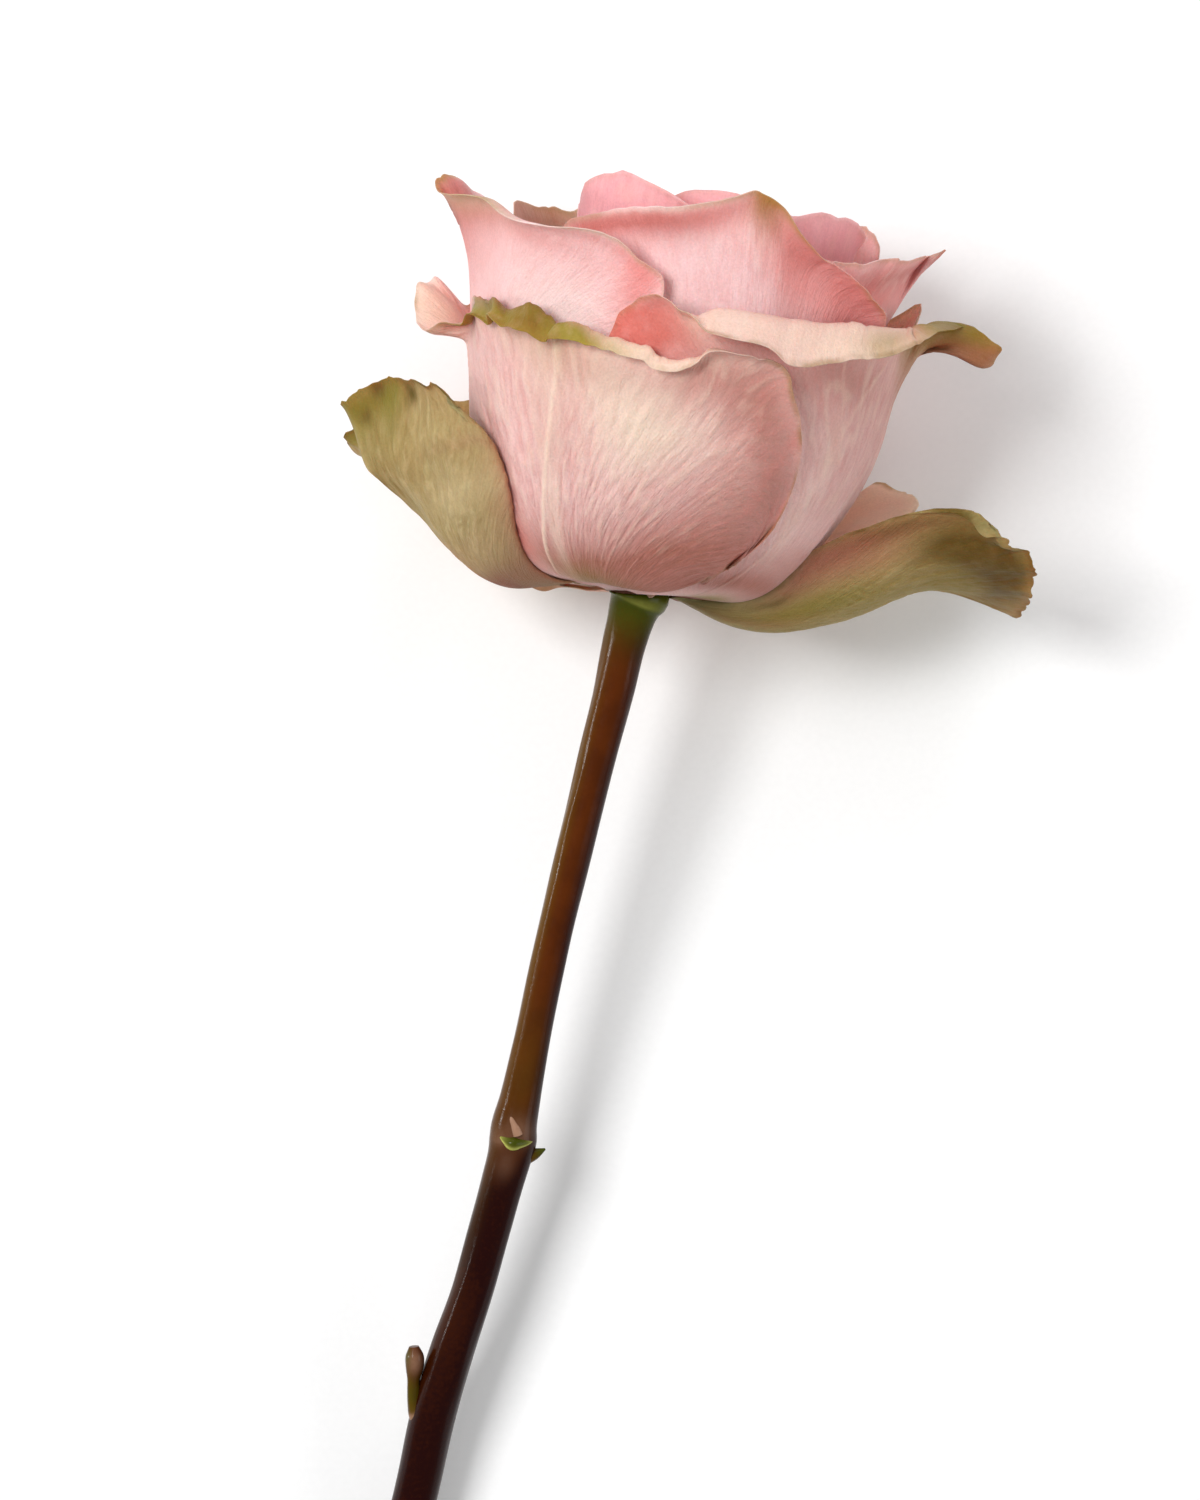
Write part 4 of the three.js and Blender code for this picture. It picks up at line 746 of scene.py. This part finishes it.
def petalSheet(petal):  # points of the sheet, column by column, with the fields that its colours read
    even = np.linspace(-1, 1, petal["columns"] + 1)
    a = np.sign(even) * (1 - (1 - np.abs(even)) ** sheetSettings["crowdAcross"])
    t = 1 - (1 - np.linspace(0, 1, petal["rows"] + 1)) ** sheetSettings["crowdAlong"]
    length, depth, turn, fan = petalOutline(petal, a)
    lay = bendOnCup(petal)

    def onRay(distance, swing=0):
        angle, across = a * fan + swing, a
        if np.ndim(distance) == 2:
            angle, across = angle[:, None], a[:, None]
        return lay(petal["claw"] * across + distance * np.sin(angle), distance * np.cos(angle), across)

    distance = np.multiply.outer(length, t)
    points = onRay(distance)
    rollMargin(points, distance, length, depth, turn, petal["crisp"], onRay)
    across, along = a[:, None], t[None, :]
    for pullAcross, pullAlong, wide, long, x, y, z in petal["pulls"]:
        weight = softSpot(across, along, pullAcross, pullAlong, wide, long)
        points = points + weight[..., None] * np.array([x, y, z])

    sideways = np.abs(across * fan[:, None]) * distance
    toTip = (length[:, None] - distance) + 0 * across
    toSide = (1 - np.abs(across)) * fan[:, None] * (distance + sheetSettings["footWidth"])
    fromMargin = np.minimum(toTip, toSide)
    vein, streak = petalVeins(petal, across, along)
    creased, creaseRelief = petalCrease(petal, across, along)
    side = keyed(petal["wrinkleSide"], (a + 1) / 2)[:, None]
    risen = ease((along - veinSettings["from"]) / veinSettings["over"])
    bodied = risen * ease(fromMargin / petal["calmEdge"])
    relief = petal["wrinkle"] * side * bodied * streak + creaseRelief
    relief = relief + petalRuffle(petal, sideways, distance, fromMargin)
    waves = np.sin(petal["waves"] * math.pi * across)
    relief = relief + petal["wave"] * along ** 3 * (1 - across ** 4) * waves
    normals = np.cross(np.gradient(points, axis=0), np.gradient(points, axis=1))
    normals /= np.linalg.norm(normals, axis=2)[..., None] + 1e-12
    points = points + normals * relief[..., None]
    pressOnTable(points)

    veins = 0.5 * np.clip(streak, -1, 1) * bodied * np.minimum(side, 1)
    fading = ease(veinSettings["sideSlope"] * np.abs(across) - veinSettings["sideStart"])
    fields = {
        "veins": 0.5 + veins * (1 - fading),
        "fan": vein + petal["seed"],
        "margin": np.clip(fromMargin / sheetSettings["marginReach"], 0, 1),
        "run": along + 0 * across,
    }
    for tint in ("blushAndShade", "salmon", "cream", "green", "olive"):
        fields[tint] = np.clip(spots(petal[tint], across, along), 0, 1)
    if petal["crease"]:
        strength = min(creaseSettings["mostCream"], creaseSettings["cream"] * petal["crease"])
        fields["cream"] = np.maximum(fields["cream"], strength * creased)
    return points, fields


def makePetal(name, settings, node, materials):
    petal = {**petalDefaults, **settings}
    points, fields = petalSheet(petal)
    piece, column, row = addGrid(name, petal["columns"], petal["rows"])
    fillPoints(piece, points[column, row])
    for field, values in fields.items():
        addField(piece, field, values[column, row])
    thin = ease(fields["margin"][column, row] * sheetEdge["thinningRate"])
    thicken(piece, petal["thickness"], thin)
    finishPiece(piece, node, materials)


# Colours and finishes
def addNode(tree, kind, settings=None, values=None):
    node = tree.nodes.new(kind)
    for key, value in (settings or {}).items():
        setattr(node, key, value)
    for key, value in (values or {}).items():
        node.inputs[key].default_value = value
    return node


def feed(tree, socket, value):  # a number, a colour or what another node gives
    if isinstance(value, (int, float)):
        socket.default_value = value
    elif isinstance(value, tuple):
        socket.default_value = (*value, 1)
    elif value is not None:
        tree.links.new(value, socket)


def attributeNode(tree, name):
    return addNode(tree, "ShaderNodeAttribute", {"attribute_name": name}).outputs["Fac"]


def mathNode(tree, operation, first, second=None, third=None, clamp=False):
    node = addNode(tree, "ShaderNodeMath", {"operation": operation, "use_clamp": clamp})
    for socket, value in zip(node.inputs, (first, second, third)):
        feed(tree, socket, value)
    return node.outputs[0]


def mixNode(tree, factor, first, second, blend="MIX"):
    node = addNode(tree, "ShaderNodeMix", {"data_type": "RGBA", "blend_type": blend})
    for socket, value in ((node.inputs[0], factor), (node.inputs[6], first), (node.inputs[7], second)):
        feed(tree, socket, value)
    return node.outputs[2]


def noiseNode(tree, vector, scale, detail=3, roughness=0.55):
    values = {"Scale": scale, "Detail": detail, "Roughness": roughness}
    node = addNode(tree, "ShaderNodeTexNoise", None, values)
    tree.links.new(vector, node.inputs["Vector"])
    return node.outputs["Fac"]


def vectorNode(tree, x, y, z):
    node = addNode(tree, "ShaderNodeCombineXYZ")
    for socket, value in zip(node.inputs, (x, y, z)):
        feed(tree, socket, value)
    return node.outputs[0]


def spreadNode(tree, value, low, high, bottom=0, top=1):  # a soft step from bottom to top
    node = addNode(tree, "ShaderNodeMapRange", {"interpolation_type": "SMOOTHSTEP"}, {
        "From Min": low, "From Max": high, "To Min": bottom, "To Max": top})
    tree.links.new(value, node.inputs["Value"])
    return node.outputs["Result"]


def toneNode(tree, color, value, spread):  # a colour made a little lighter and darker
    shade = spreadNode(tree, value, *spread)
    return mixNode(tree, 1.0, color, vectorNode(tree, shade, shade, shade), "MULTIPLY")


skinColors = ("Pale", "Deep", "Salmon", "Cream", "Green", "Olive", "Vein")
skinPattern = {
    "blotch": 90, "patch": 420, "grain": 2600, "fibresAcross": 50, "fibresAlong": 18,  # noise scales
    "mottle": 0.4, "uneven": (0.2, 0.6, 0.82, 1), "shade": (0.3, 0.7, 0.95, 1.04),
    # grooves and hollows set where the vein colour paints shade in the relief; crests set where the
    # cream colour paints a highlight.
    "grooves": (0.35, 0.7), "hollows": (0.15, 0.6, 1, 0), "crests": (0.6, 0.95, 0, 0.7),
    "rim": (0.02, 0.22, 1, 0), "rimPatches": (0.4, 0.62),
    "gloss": (0.2, 0.8, 0.62, 0.44), "fibreHeight": 0.8, "grainHeight": 0.25,
}


def makePetalSkin():  # veins, soft blotches and browned margins, shared by all petal finishes
    group = bpy.data.node_groups.new("petalSkin", "ShaderNodeTree")
    for name in skinColors:
        group.interface.new_socket(name, in_out="INPUT", socket_type="NodeSocketColor")
    for name in ("Browning", "Veining"):
        group.interface.new_socket(name, in_out="INPUT", socket_type="NodeSocketFloat")
    group.interface.new_socket("Color", in_out="OUTPUT", socket_type="NodeSocketColor")
    for name in ("Roughness", "Height"):
        group.interface.new_socket(name, in_out="OUTPUT", socket_type="NodeSocketFloat")
    entry = addNode(group, "NodeGroupInput").outputs
    leave = addNode(group, "NodeGroupOutput").inputs

    def times(first, second):
        return mathNode(group, "MULTIPLY", first, second)

    place = addNode(group, "ShaderNodeTexCoord").outputs["Object"]
    fan, run = attributeNode(group, "fan"), attributeNode(group, "run")
    margin, veins = attributeNode(group, "margin"), attributeNode(group, "veins")
    blotch = noiseNode(group, place, skinPattern["blotch"], detail=4)
    patch = noiseNode(group, place, skinPattern["patch"], detail=3)
    grain = noiseNode(group, place, skinPattern["grain"], detail=2)
    fibresAcross = times(fan, skinPattern["fibresAcross"])
    fibresAlong = times(run, skinPattern["fibresAlong"])
    fibrePlace = vectorNode(group, fibresAcross, fibresAlong, patch)
    fibre = noiseNode(group, fibrePlace, 1, detail=3, roughness=0.6)

    mottle = mathNode(group, "MULTIPLY_ADD", blotch, skinPattern["mottle"], -skinPattern["mottle"] / 2)
    # This mask mixes in the deep colour: the petals' own blush together with painted shade.
    blushAndShade = mathNode(group, "ADD", attributeNode(group, "blushAndShade"), mottle, clamp=True)
    color = mixNode(group, blushAndShade, entry["Pale"], entry["Deep"])
    # The vein colour goes on the fibre streaks that also make the bumps and in the hollows of the vein
    # relief: partly a real streak colour, mostly painted shade of that relief.
    groove = times(spreadNode(group, fibre, *skinPattern["grooves"]), entry["Veining"])
    hollow = times(spreadNode(group, veins, *skinPattern["hollows"]), entry["Veining"])
    color = mixNode(group, mathNode(group, "MAXIMUM", groove, hollow), color, entry["Vein"])
    # On the crests of the vein relief the cream colour paints a highlight.
    crest = times(spreadNode(group, veins, *skinPattern["crests"]), entry["Veining"])
    color = mixNode(group, crest, color, entry["Cream"])
    uneven = spreadNode(group, patch, *skinPattern["uneven"])
    for tint in ("salmon", "cream", "green", "olive"):
        mask = times(attributeNode(group, tint), uneven)
        color = mixNode(group, mask, color, entry[tint.capitalize()])
    rim = spreadNode(group, margin, *skinPattern["rim"])
    browned = times(rim, spreadNode(group, blotch, *skinPattern["rimPatches"]))
    color = mixNode(group, times(browned, entry["Browning"]), color, entry["Olive"])
    group.links.new(toneNode(group, color, grain, skinPattern["shade"]), leave["Color"])
    group.links.new(spreadNode(group, fibre, *skinPattern["gloss"]), leave["Roughness"])
    grainHeight = times(grain, skinPattern["grainHeight"])
    height = mathNode(group, "MULTIPLY_ADD", fibre, skinPattern["fibreHeight"], grainHeight)
    group.links.new(height, leave["Height"])
    return group


petalSkin = makePetalSkin()
# The deep colours also paint shade, the salmon colours paint shade with the warm glow of light through
# the petals, and the vein colours paint shade in the wrinkles.
finishes = {
    "outerSkin": {  # outer face of the outer petals
        "pale": (0.92, 0.55, 0.52), "deep": (0.36, 0.13, 0.09), "salmon": (0.62, 0.16, 0.13),
        "cream": (0.86, 0.60, 0.48), "green": (0.26, 0.21, 0.03), "olive": (0.20, 0.12, 0.015),
        "vein": (0.62, 0.22, 0.20), "browning": 0.6, "veins": 0.36, "bump": 0.9,
    },
    "middleSkin": {
        "pale": (0.96, 0.58, 0.58), "deep": (0.50, 0.17, 0.15), "salmon": (0.86, 0.26, 0.24),
        # This cream is pale enough to paint light on the shaded lower part of the left middle petal and
        # on the vein crests.
        "cream": (0.97, 0.74, 0.70), "green": (0.36, 0.30, 0.12), "olive": (0.30, 0.17, 0.05),
        "vein": (0.72, 0.28, 0.26), "browning": 0.4, "veins": 0.24, "bump": 0.7,
    },
    "innerSkin": {
        "pale": (0.84, 0.40, 0.43), "deep": (0.58, 0.15, 0.16), "salmon": (0.76, 0.22, 0.20),
        "cream": (0.86, 0.52, 0.42), "green": (0.30, 0.25, 0.05), "olive": (0.40, 0.18, 0.10),
        "vein": (0.60, 0.18, 0.18), "browning": 0.25, "veins": 0.22, "bump": 0.25,
    },
    "liningSkin": {  # inner face, seen where a margin rolls back
        "pale": (0.88, 0.45, 0.39), "deep": (0.50, 0.16, 0.13), "salmon": (0.66, 0.19, 0.15),
        "cream": (0.78, 0.55, 0.42), "green": (0.30, 0.25, 0.03), "olive": (0.19, 0.12, 0.01),
        "vein": (0.62, 0.22, 0.17), "browning": 0.7, "veins": 0.2, "bump": 0.3,
    },
    "guardSkin": {
        "pale": (0.38, 0.29, 0.12), "deep": (0.27, 0.10, 0.06), "salmon": (0.48, 0.21, 0.14),
        "cream": (0.66, 0.50, 0.28), "green": (0.19, 0.16, 0.02), "olive": (0.09, 0.065, 0.008),
        "vein": (0.17, 0.10, 0.02), "browning": 0.9, "veins": 0.32, "bump": 0.9,
    },
}
flesh = {
    "subsurface": 0.3, "radius": (1.0, 0.35, 0.25), "scale": 0.003, "specular": 0.15,
    "bumpReach": 0.0004,
}


def roughen(tree, height, strength, reach):  # the height goes into the shader as bumps
    bump = addNode(tree, "ShaderNodeBump", None, {"Strength": strength, "Distance": reach})
    tree.links.new(height, bump.inputs["Height"])
    tree.links.new(bump.outputs["Normal"], tree.nodes["Principled BSDF"].inputs["Normal"])


def makeSkin(name, finish):
    material = bpy.data.materials.new(name)
    material.use_nodes = True
    tree = material.node_tree
    shader = tree.nodes["Principled BSDF"]
    skin = addNode(tree, "ShaderNodeGroup", {"node_tree": petalSkin})
    for socket in skinColors:
        skin.inputs[socket].default_value = (*finish[socket.lower()], 1)
    skin.inputs["Browning"].default_value = finish["browning"]
    skin.inputs["Veining"].default_value = finish["veins"]
    tree.links.new(skin.outputs["Color"], shader.inputs["Base Color"])
    tree.links.new(skin.outputs["Roughness"], shader.inputs["Roughness"])
    roughen(tree, skin.outputs["Height"], finish["bump"], flesh["bumpReach"])
    shader.inputs["Subsurface Weight"].default_value = flesh["subsurface"]
    shader.inputs["Subsurface Radius"].default_value = flesh["radius"]
    shader.inputs["Subsurface Scale"].default_value = flesh["scale"]
    shader.inputs["Specular IOR Level"].default_value = flesh["specular"]
    return material


skins = {name: makeSkin(name, finish) for name, finish in finishes.items()}
print("petal finishes made")

petalSkins = {  # outside and inside, by what a petal's name starts with
    "guardPetalBack": ("liningSkin", "liningSkin"),
    "outer": ("outerSkin", "liningSkin"),
    "middle": ("middleSkin", "liningSkin"),
    "inner": ("innerSkin", "innerSkin"),
    "guard": ("guardSkin", "guardSkin"),
}
for name, settings in petalSettings.items():
    kind = next(kind for kind in petalSkins if name.startswith(kind))
    materials = [skins[skin] for skin in petalSkins[kind]]
    if kind.startswith("guard"):
        makePetal(name + "Blade", settings, name, materials)
    else:
        makePetal(name, settings, "bloom", materials)
for ringNumber, ring in enumerate(ringSettings):
    for i in range(ring["count"]):
        at = ring["start"] + i * 360 / ring["count"]
        settings = dict(ring["petal"], at=at, seed=40 + ringNumber * 10 + i)
        if i < len(ring.get("ringPulls", ())):
            settings["pulls"] = ring["ringPulls"][i]
        makePetal(f"innerPetal{ringNumber}_{i}", settings, "bloom", [skins["innerSkin"]] * 2)
print("petals made")

# Stem
stemSettings = {
    "line": (
        (6.2, 24.8, 31.4, 4.7), (6.15, 24.1, 31.3, 4.8), (5.95, 23.5, 31.2, 4.6),
        (5.6, 22.7, 31.05, 4.15), (5.2, 21.6, 30.9, 3.85), (4.8, 20.2, 30.7, 3.62),
        (4.0, 17.3, 30.2, 3.4), (2.2, 9.4, 28.9, 3.2), (-0.2, 0, 27.4, 3.0),
        (-4.0, -15.8, 24.9, 2.85), (-7.75, -31.6, 22.4, 2.78), (-11.1, -47.6, 19.9, 2.93),
        (-12.7, -55.6, 18.6, 3.24), (-13.7, -60.4, 17.8, 3.7), (-13.8, -62.0, 17.5, 3.8),
        (-14.2, -64.0, 17.25, 3.6), (-15.4, -68.4, 16.6, 3.4), (-17.6, -76.5, 15.3, 3.33),
        (-20.3, -86.2, 13.9, 3.33), (-23.6, -95.9, 12.3, 3.5), (-26.5, -105.6, 10.8, 3.55),
        (-29.0, -117.1, 9.0, 3.5), (-38.5, -151.6, 3.75, 3.7),
    ),
    "around": 72, "rows": 420, "ridges": 0.04, "cutEnd": True,
    "green": ((0, 0.02, 3, 0.032, 1),),
    # The first dark patch, down one side, paints shade on the side turned away from the main light.
    "dark": ((0.95, 0.3, 0.45, 0.5, 0.85), (0, 0.8, 3, 0.3, 1), (0, 0.56, 3, 0.05, 0.7)),
    "rim": ((-0.95, 0.25, 0.4, 0.25, 0.9), (0, 0.43, 0.7, 0.05, 0.35)),
    "pith": ((0.2, 0.0205, 0.75, 0.002, 0.3),),
    "tan": (
        (0.25, 0.478, 0.6, 0.012, 0.3), (-0.6, 0.487, 0.3, 0.008, 0.3),
        (-0.1, 0.508, 0.4, 0.012, 0.15),
    ),
}
shootSettings = {
    "line": (
        (-28.6, -108.6, 10.3, 1.5), (-28.8, -107.4, 10.9, 1.6), (-29.3, -105.5, 11.3, 1.5),
        (-29.65, -104.2, 11.6, 1.2), (-29.8, -102.3, 12.1, 1.05), (-29.8, -100.4, 12.5, 1.05),
        (-29.7, -99.4, 12.7, 1.3), (-29.6, -98.2, 13.0, 1.5), (-29.6, -96.6, 13.3, 1.45),
        (-29.7, -95.2, 13.5, 0.8),
    ),
    "around": 32, "rows": 110, "ridges": 0.06, "cutEnd": False,
    "green": ((0, 0.45, 3, 0.2, 0.6), (0.8, 0.85, 0.5, 0.1, 0.8)),
    "dark": ((-0.8, 0.85, 0.6, 0.2, 0.4),),
    "rim": ((0.6, 0.4, 0.5, 0.3, 0.8),),
    "pith": (),
    "tan": ((0, 0.22, 3, 0.04, 0.8), (0, 0.8, 0.8, 0.12, 0.5)),
}
prickleSettings = {
    "line": ((-12.4, -64.8, 17.3, 1.5), (-10.2, -64.1, 17.5, 0.9), (-8.7, -63.4, 17.7, 0.15)),
    "around": 24, "rows": 40, "ridges": 0.02, "cutEnd": False,
    "green": ((0, 0.8, 3, 0.3, 1),),
    "dark": (),
    "rim": ((0, 0.35, 3, 0.2, 0.8),),
    "pith": (), "tan": (),
}
budSettings = {
    "line": (
        (-13.0, -61.0, 21.0, 0.8), (-13.3, -60.1, 21.2, 0.7), (-13.7, -59.2, 21.3, 0.5),
        (-14.0, -58.4, 21.35, 0.35), (-14.15, -57.9, 21.3, 0.15),
    ),
    "around": 24, "rows": 40, "ridges": 0.04, "cutEnd": False,
    "green": ((0.3, 0.6, 0.6, 0.3, 0.3),),
    "dark": (), "rim": (), "pith": (),
    "tan": ((0, 0.5, 4, 2, 1),),
}
scarSettings = {
    "line": (
        (-15.8, -61.3, 20.9, 0.15), (-15.0, -61.8, 21.0, 0.6), (-14.0, -62.3, 21.0, 1.1),
        (-12.5, -62.3, 20.7, 0.75), (-11.4, -62.2, 20.2, 0.4), (-10.8, -62.1, 19.8, 0.12),
    ),
    "around": 32, "rows": 50, "ridges": 0.04, "cutEnd": False,
    "green": ((0, 0.5, 4, 3, 1),),
    "dark": (),
    "rim": ((0.3, 0.5, 0.5, 0.15, 0.6),),
    "pith": ((-0.9, 0.5, 0.35, 3, 0.8), (0, 0, 3, 0.2, 0.7), (0, 1, 3, 0.2, 0.7)),
    "tan": (),
}
barkTints = {
    "dark": (0.014, 0.001, 0.0005), "rim": (0.12, 0.055, 0.003), "green": (0.045, 0.055, 0.002),
    "tan": (0.34, 0.19, 0.12), "pith": (0.55, 0.55, 0.12),
}
barkRed = (0.09, 0.018, 0.001)
barkPattern = {
    "blotch": 160, "speck": 1500, "pores": 5000,  # noise scales
    "patches": (0.35, 0.65), "patchShare": 0.3, "wornShare": 0.5,
    "gloss": (0.3, 0.7, 0.14, 0.24), "specular": 0.1,
    "poreHeight": 0.3, "bump": 0.07, "bumpReach": 0.0003,
}
capRows = 6  # rows of cells that close a tube at each end


def smoothLine(line, count):  # a smooth run through the points, even in length
    points = np.array(line, float)
    chord = np.concatenate([[0], np.cumsum(np.linalg.norm(np.diff(points[:, :3], axis=0), axis=1))])
    slope = np.gradient(points, chord, axis=0)
    run = np.linspace(0, chord[-1], count)
    i = np.clip(np.searchsorted(chord, run) - 1, 0, len(chord) - 2)
    gap = (chord[i + 1] - chord[i])[:, None]
    u = ((run - chord[i]) / gap[:, 0])[:, None]
    smooth = ((2 * u ** 3 - 3 * u ** 2 + 1) * points[i] + (u ** 3 - 2 * u ** 2 + u) * gap * slope[i]
              + (3 * u ** 2 - 2 * u ** 3) * points[i + 1] + (u ** 3 - u ** 2) * gap * slope[i + 1])
    return smooth[:, :3], smooth[:, 3]


def withCaps(rows):  # the first and the last row again for each row of a cap
    return np.concatenate([np.repeat(rows[:1], capRows, 0), rows, np.repeat(rows[-1:], capRows, 0)])


def makeTube(name, settings, material, seed):  # a grid wrapped round a line, closed at both ends
    around, rows = settings["around"], settings["rows"]
    centre, radius = smoothLine(settings["line"], rows + 1 - 2 * capRows)
    ahead = np.gradient(centre, axis=0)
    ahead /= np.linalg.norm(ahead, axis=1)[:, None]
    side = np.cross(ahead, (0, 0, 1))
    side /= np.linalg.norm(side, axis=1)[:, None]
    top = np.cross(side, ahead)
    centre, side, top = withCaps(centre), withCaps(side), withCaps(top)
    closing = np.linspace(0, 1, capRows + 1)[:-1]
    radius = np.concatenate([radius[0] * closing, radius, radius[-1] * closing[::-1]])

    angle = np.linspace(-math.pi, math.pi, around + 1)
    x, y = np.cos(angle)[:, None], np.sin(angle)[:, None]
    along = np.linspace(0, 1, rows + 1)[None]
    down = np.concatenate([[0], np.cumsum(np.linalg.norm(np.diff(centre, axis=0), axis=1))])[None]
    ridges = noise(x * 3 + 20, y * 3 + down * 0.03, seed) * 0.5
    ridges = ridges + noise(x * 1.4 + down * 0.11, y * 1.4 + 9, seed + 1)
    grow = 1 + settings["ridges"] * ridges
    grow[-1] = grow[0]
    spoke = x[..., None] * top[None] - y[..., None] * side[None]
    points = centre[None] + spoke * (grow * radius[None])[..., None]
    piece, column, row = addGrid(name, around, rows)
    fillPoints(piece, points[column, row])

    for field in barkTints:
        values = np.clip(spots(settings[field], y, along), 0, 1)
        if field == "pith" and settings["cutEnd"]:
            values[:, -capRows:] = 1
        addField(piece, field, values[column, row])
    bpy.ops.object.mode_set(mode="EDIT")
    bpy.ops.mesh.select_all(action="SELECT")
    bpy.ops.mesh.remove_doubles(threshold=0.00001)
    bpy.ops.mesh.normals_make_consistent(inside=False)
    bpy.ops.object.mode_set(mode="OBJECT")
    finishPiece(piece, "stem", [material])


def makeBark():
    material = bpy.data.materials.new("stemBark")
    material.use_nodes = True
    tree = material.node_tree
    shader = tree.nodes["Principled BSDF"]
    place = addNode(tree, "ShaderNodeTexCoord").outputs["Object"]
    blotch = noiseNode(tree, place, barkPattern["blotch"], detail=4)
    speck = noiseNode(tree, place, barkPattern["speck"], detail=3)
    pores = noiseNode(tree, place, barkPattern["pores"], detail=1)

    patchy = spreadNode(tree, blotch, *barkPattern["patches"])
    darker = mathNode(tree, "MULTIPLY", patchy, barkPattern["patchShare"])
    color = mixNode(tree, darker, barkRed, barkTints["dark"])
    wornShare = barkPattern["wornShare"]
    uneven = mathNode(tree, "MULTIPLY_ADD", speck, wornShare, -wornShare / 2)
    worn = mathNode(tree, "ADD", uneven, 1.0)
    for field, tint in barkTints.items():
        mask = mathNode(tree, "MULTIPLY", attributeNode(tree, field), worn, clamp=True)
        color = mixNode(tree, mask, color, tint)
    tree.links.new(color, shader.inputs["Base Color"])
    tree.links.new(spreadNode(tree, speck, *barkPattern["gloss"]), shader.inputs["Roughness"])
    height = mathNode(tree, "ADD", speck, mathNode(tree, "MULTIPLY", pores, barkPattern["poreHeight"]))
    roughen(tree, height, barkPattern["bump"], barkPattern["bumpReach"])
    shader.inputs["Specular IOR Level"].default_value = barkPattern["specular"]
    return material


bark = makeBark()
makeTube("stemRod", stemSettings, bark, 60)
makeTube("sideShoot", shootSettings, bark, 70)
makeTube("stemPrickle", prickleSettings, bark, 80)
makeTube("axilBud", budSettings, bark, 90)
makeTube("leafScar", scarSettings, bark, 95)
print("stem made")

# Floor, lights and camera
stageSettings = {
    "floorSize": 4, "floorColor": (0.94, 0.94, 0.94), "floorRoughness": 0.8,
    "floorGrain": 900, "floorTone": (0.3, 0.7, 0.985, 1),
    "worldStrength": 0.42,
    "lights": (  # place, size, energy
        ((-0.44, 0.24, 0.84), 0.34, 6.3),
        ((0.10, 0.80, 0.50), 0.5, 1.5),
        ((0.90, -0.10, 0.45), 0.6, 2.8),
        ((-0.95, 0.05, 0.22), 0.045, 1.1),
    ),
    "cameraHeight": 0.984, "cameraSensor": 36,
    "shownHeight": 0.234375, "shownFrom": 0.95,  # so much fills the picture from so far away
}
deselectAll()
bpy.ops.mesh.primitive_plane_add(size=stageSettings["floorSize"], location=(0, 0, 0))
floor = bpy.context.object
floor.name = "floor"
paper = bpy.data.materials.new("floorPaper")
paper.use_nodes = True
paperTree = paper.node_tree
paperShader = paperTree.nodes["Principled BSDF"]
paperPlace = addNode(paperTree, "ShaderNodeTexCoord").outputs["Object"]
paperGrain = noiseNode(paperTree, paperPlace, stageSettings["floorGrain"], detail=3)
paperColor = toneNode(paperTree, stageSettings["floorColor"], paperGrain, stageSettings["floorTone"])
paperTree.links.new(paperColor, paperShader.inputs["Base Color"])
paperShader.inputs["Roughness"].default_value = stageSettings["floorRoughness"]
floor.data.materials.append(paper)

world = bpy.data.worlds.new("softRoom")
world.use_nodes = True
background = world.node_tree.nodes["Background"].inputs
background["Color"].default_value = (1, 1, 1, 1)
background["Strength"].default_value = stageSettings["worldStrength"]
bpy.context.scene.world = world
for place, size, energy in stageSettings["lights"]:
    bpy.ops.object.light_add(type="AREA", location=place)
    light = bpy.context.object
    light.data.size = size
    light.data.energy = energy
    light.rotation_euler = (-Vector(place)).to_track_quat("-Z", "Y").to_euler()

cameraPlace = (shift[0] / 1000, shift[1] / 1000, stageSettings["cameraHeight"] + shift[2] / 1000)
bpy.ops.object.camera_add(location=cameraPlace)
camera = bpy.context.object
camera.data.lens = (
    stageSettings["cameraSensor"] * stageSettings["shownFrom"] / stageSettings["shownHeight"])
camera.data.sensor_width = stageSettings["cameraSensor"]
camera.data.clip_start = 0.01
bpy.context.scene.camera = camera
bpy.context.scene.view_settings.view_transform = "Standard"
print("stage, lights and camera set")
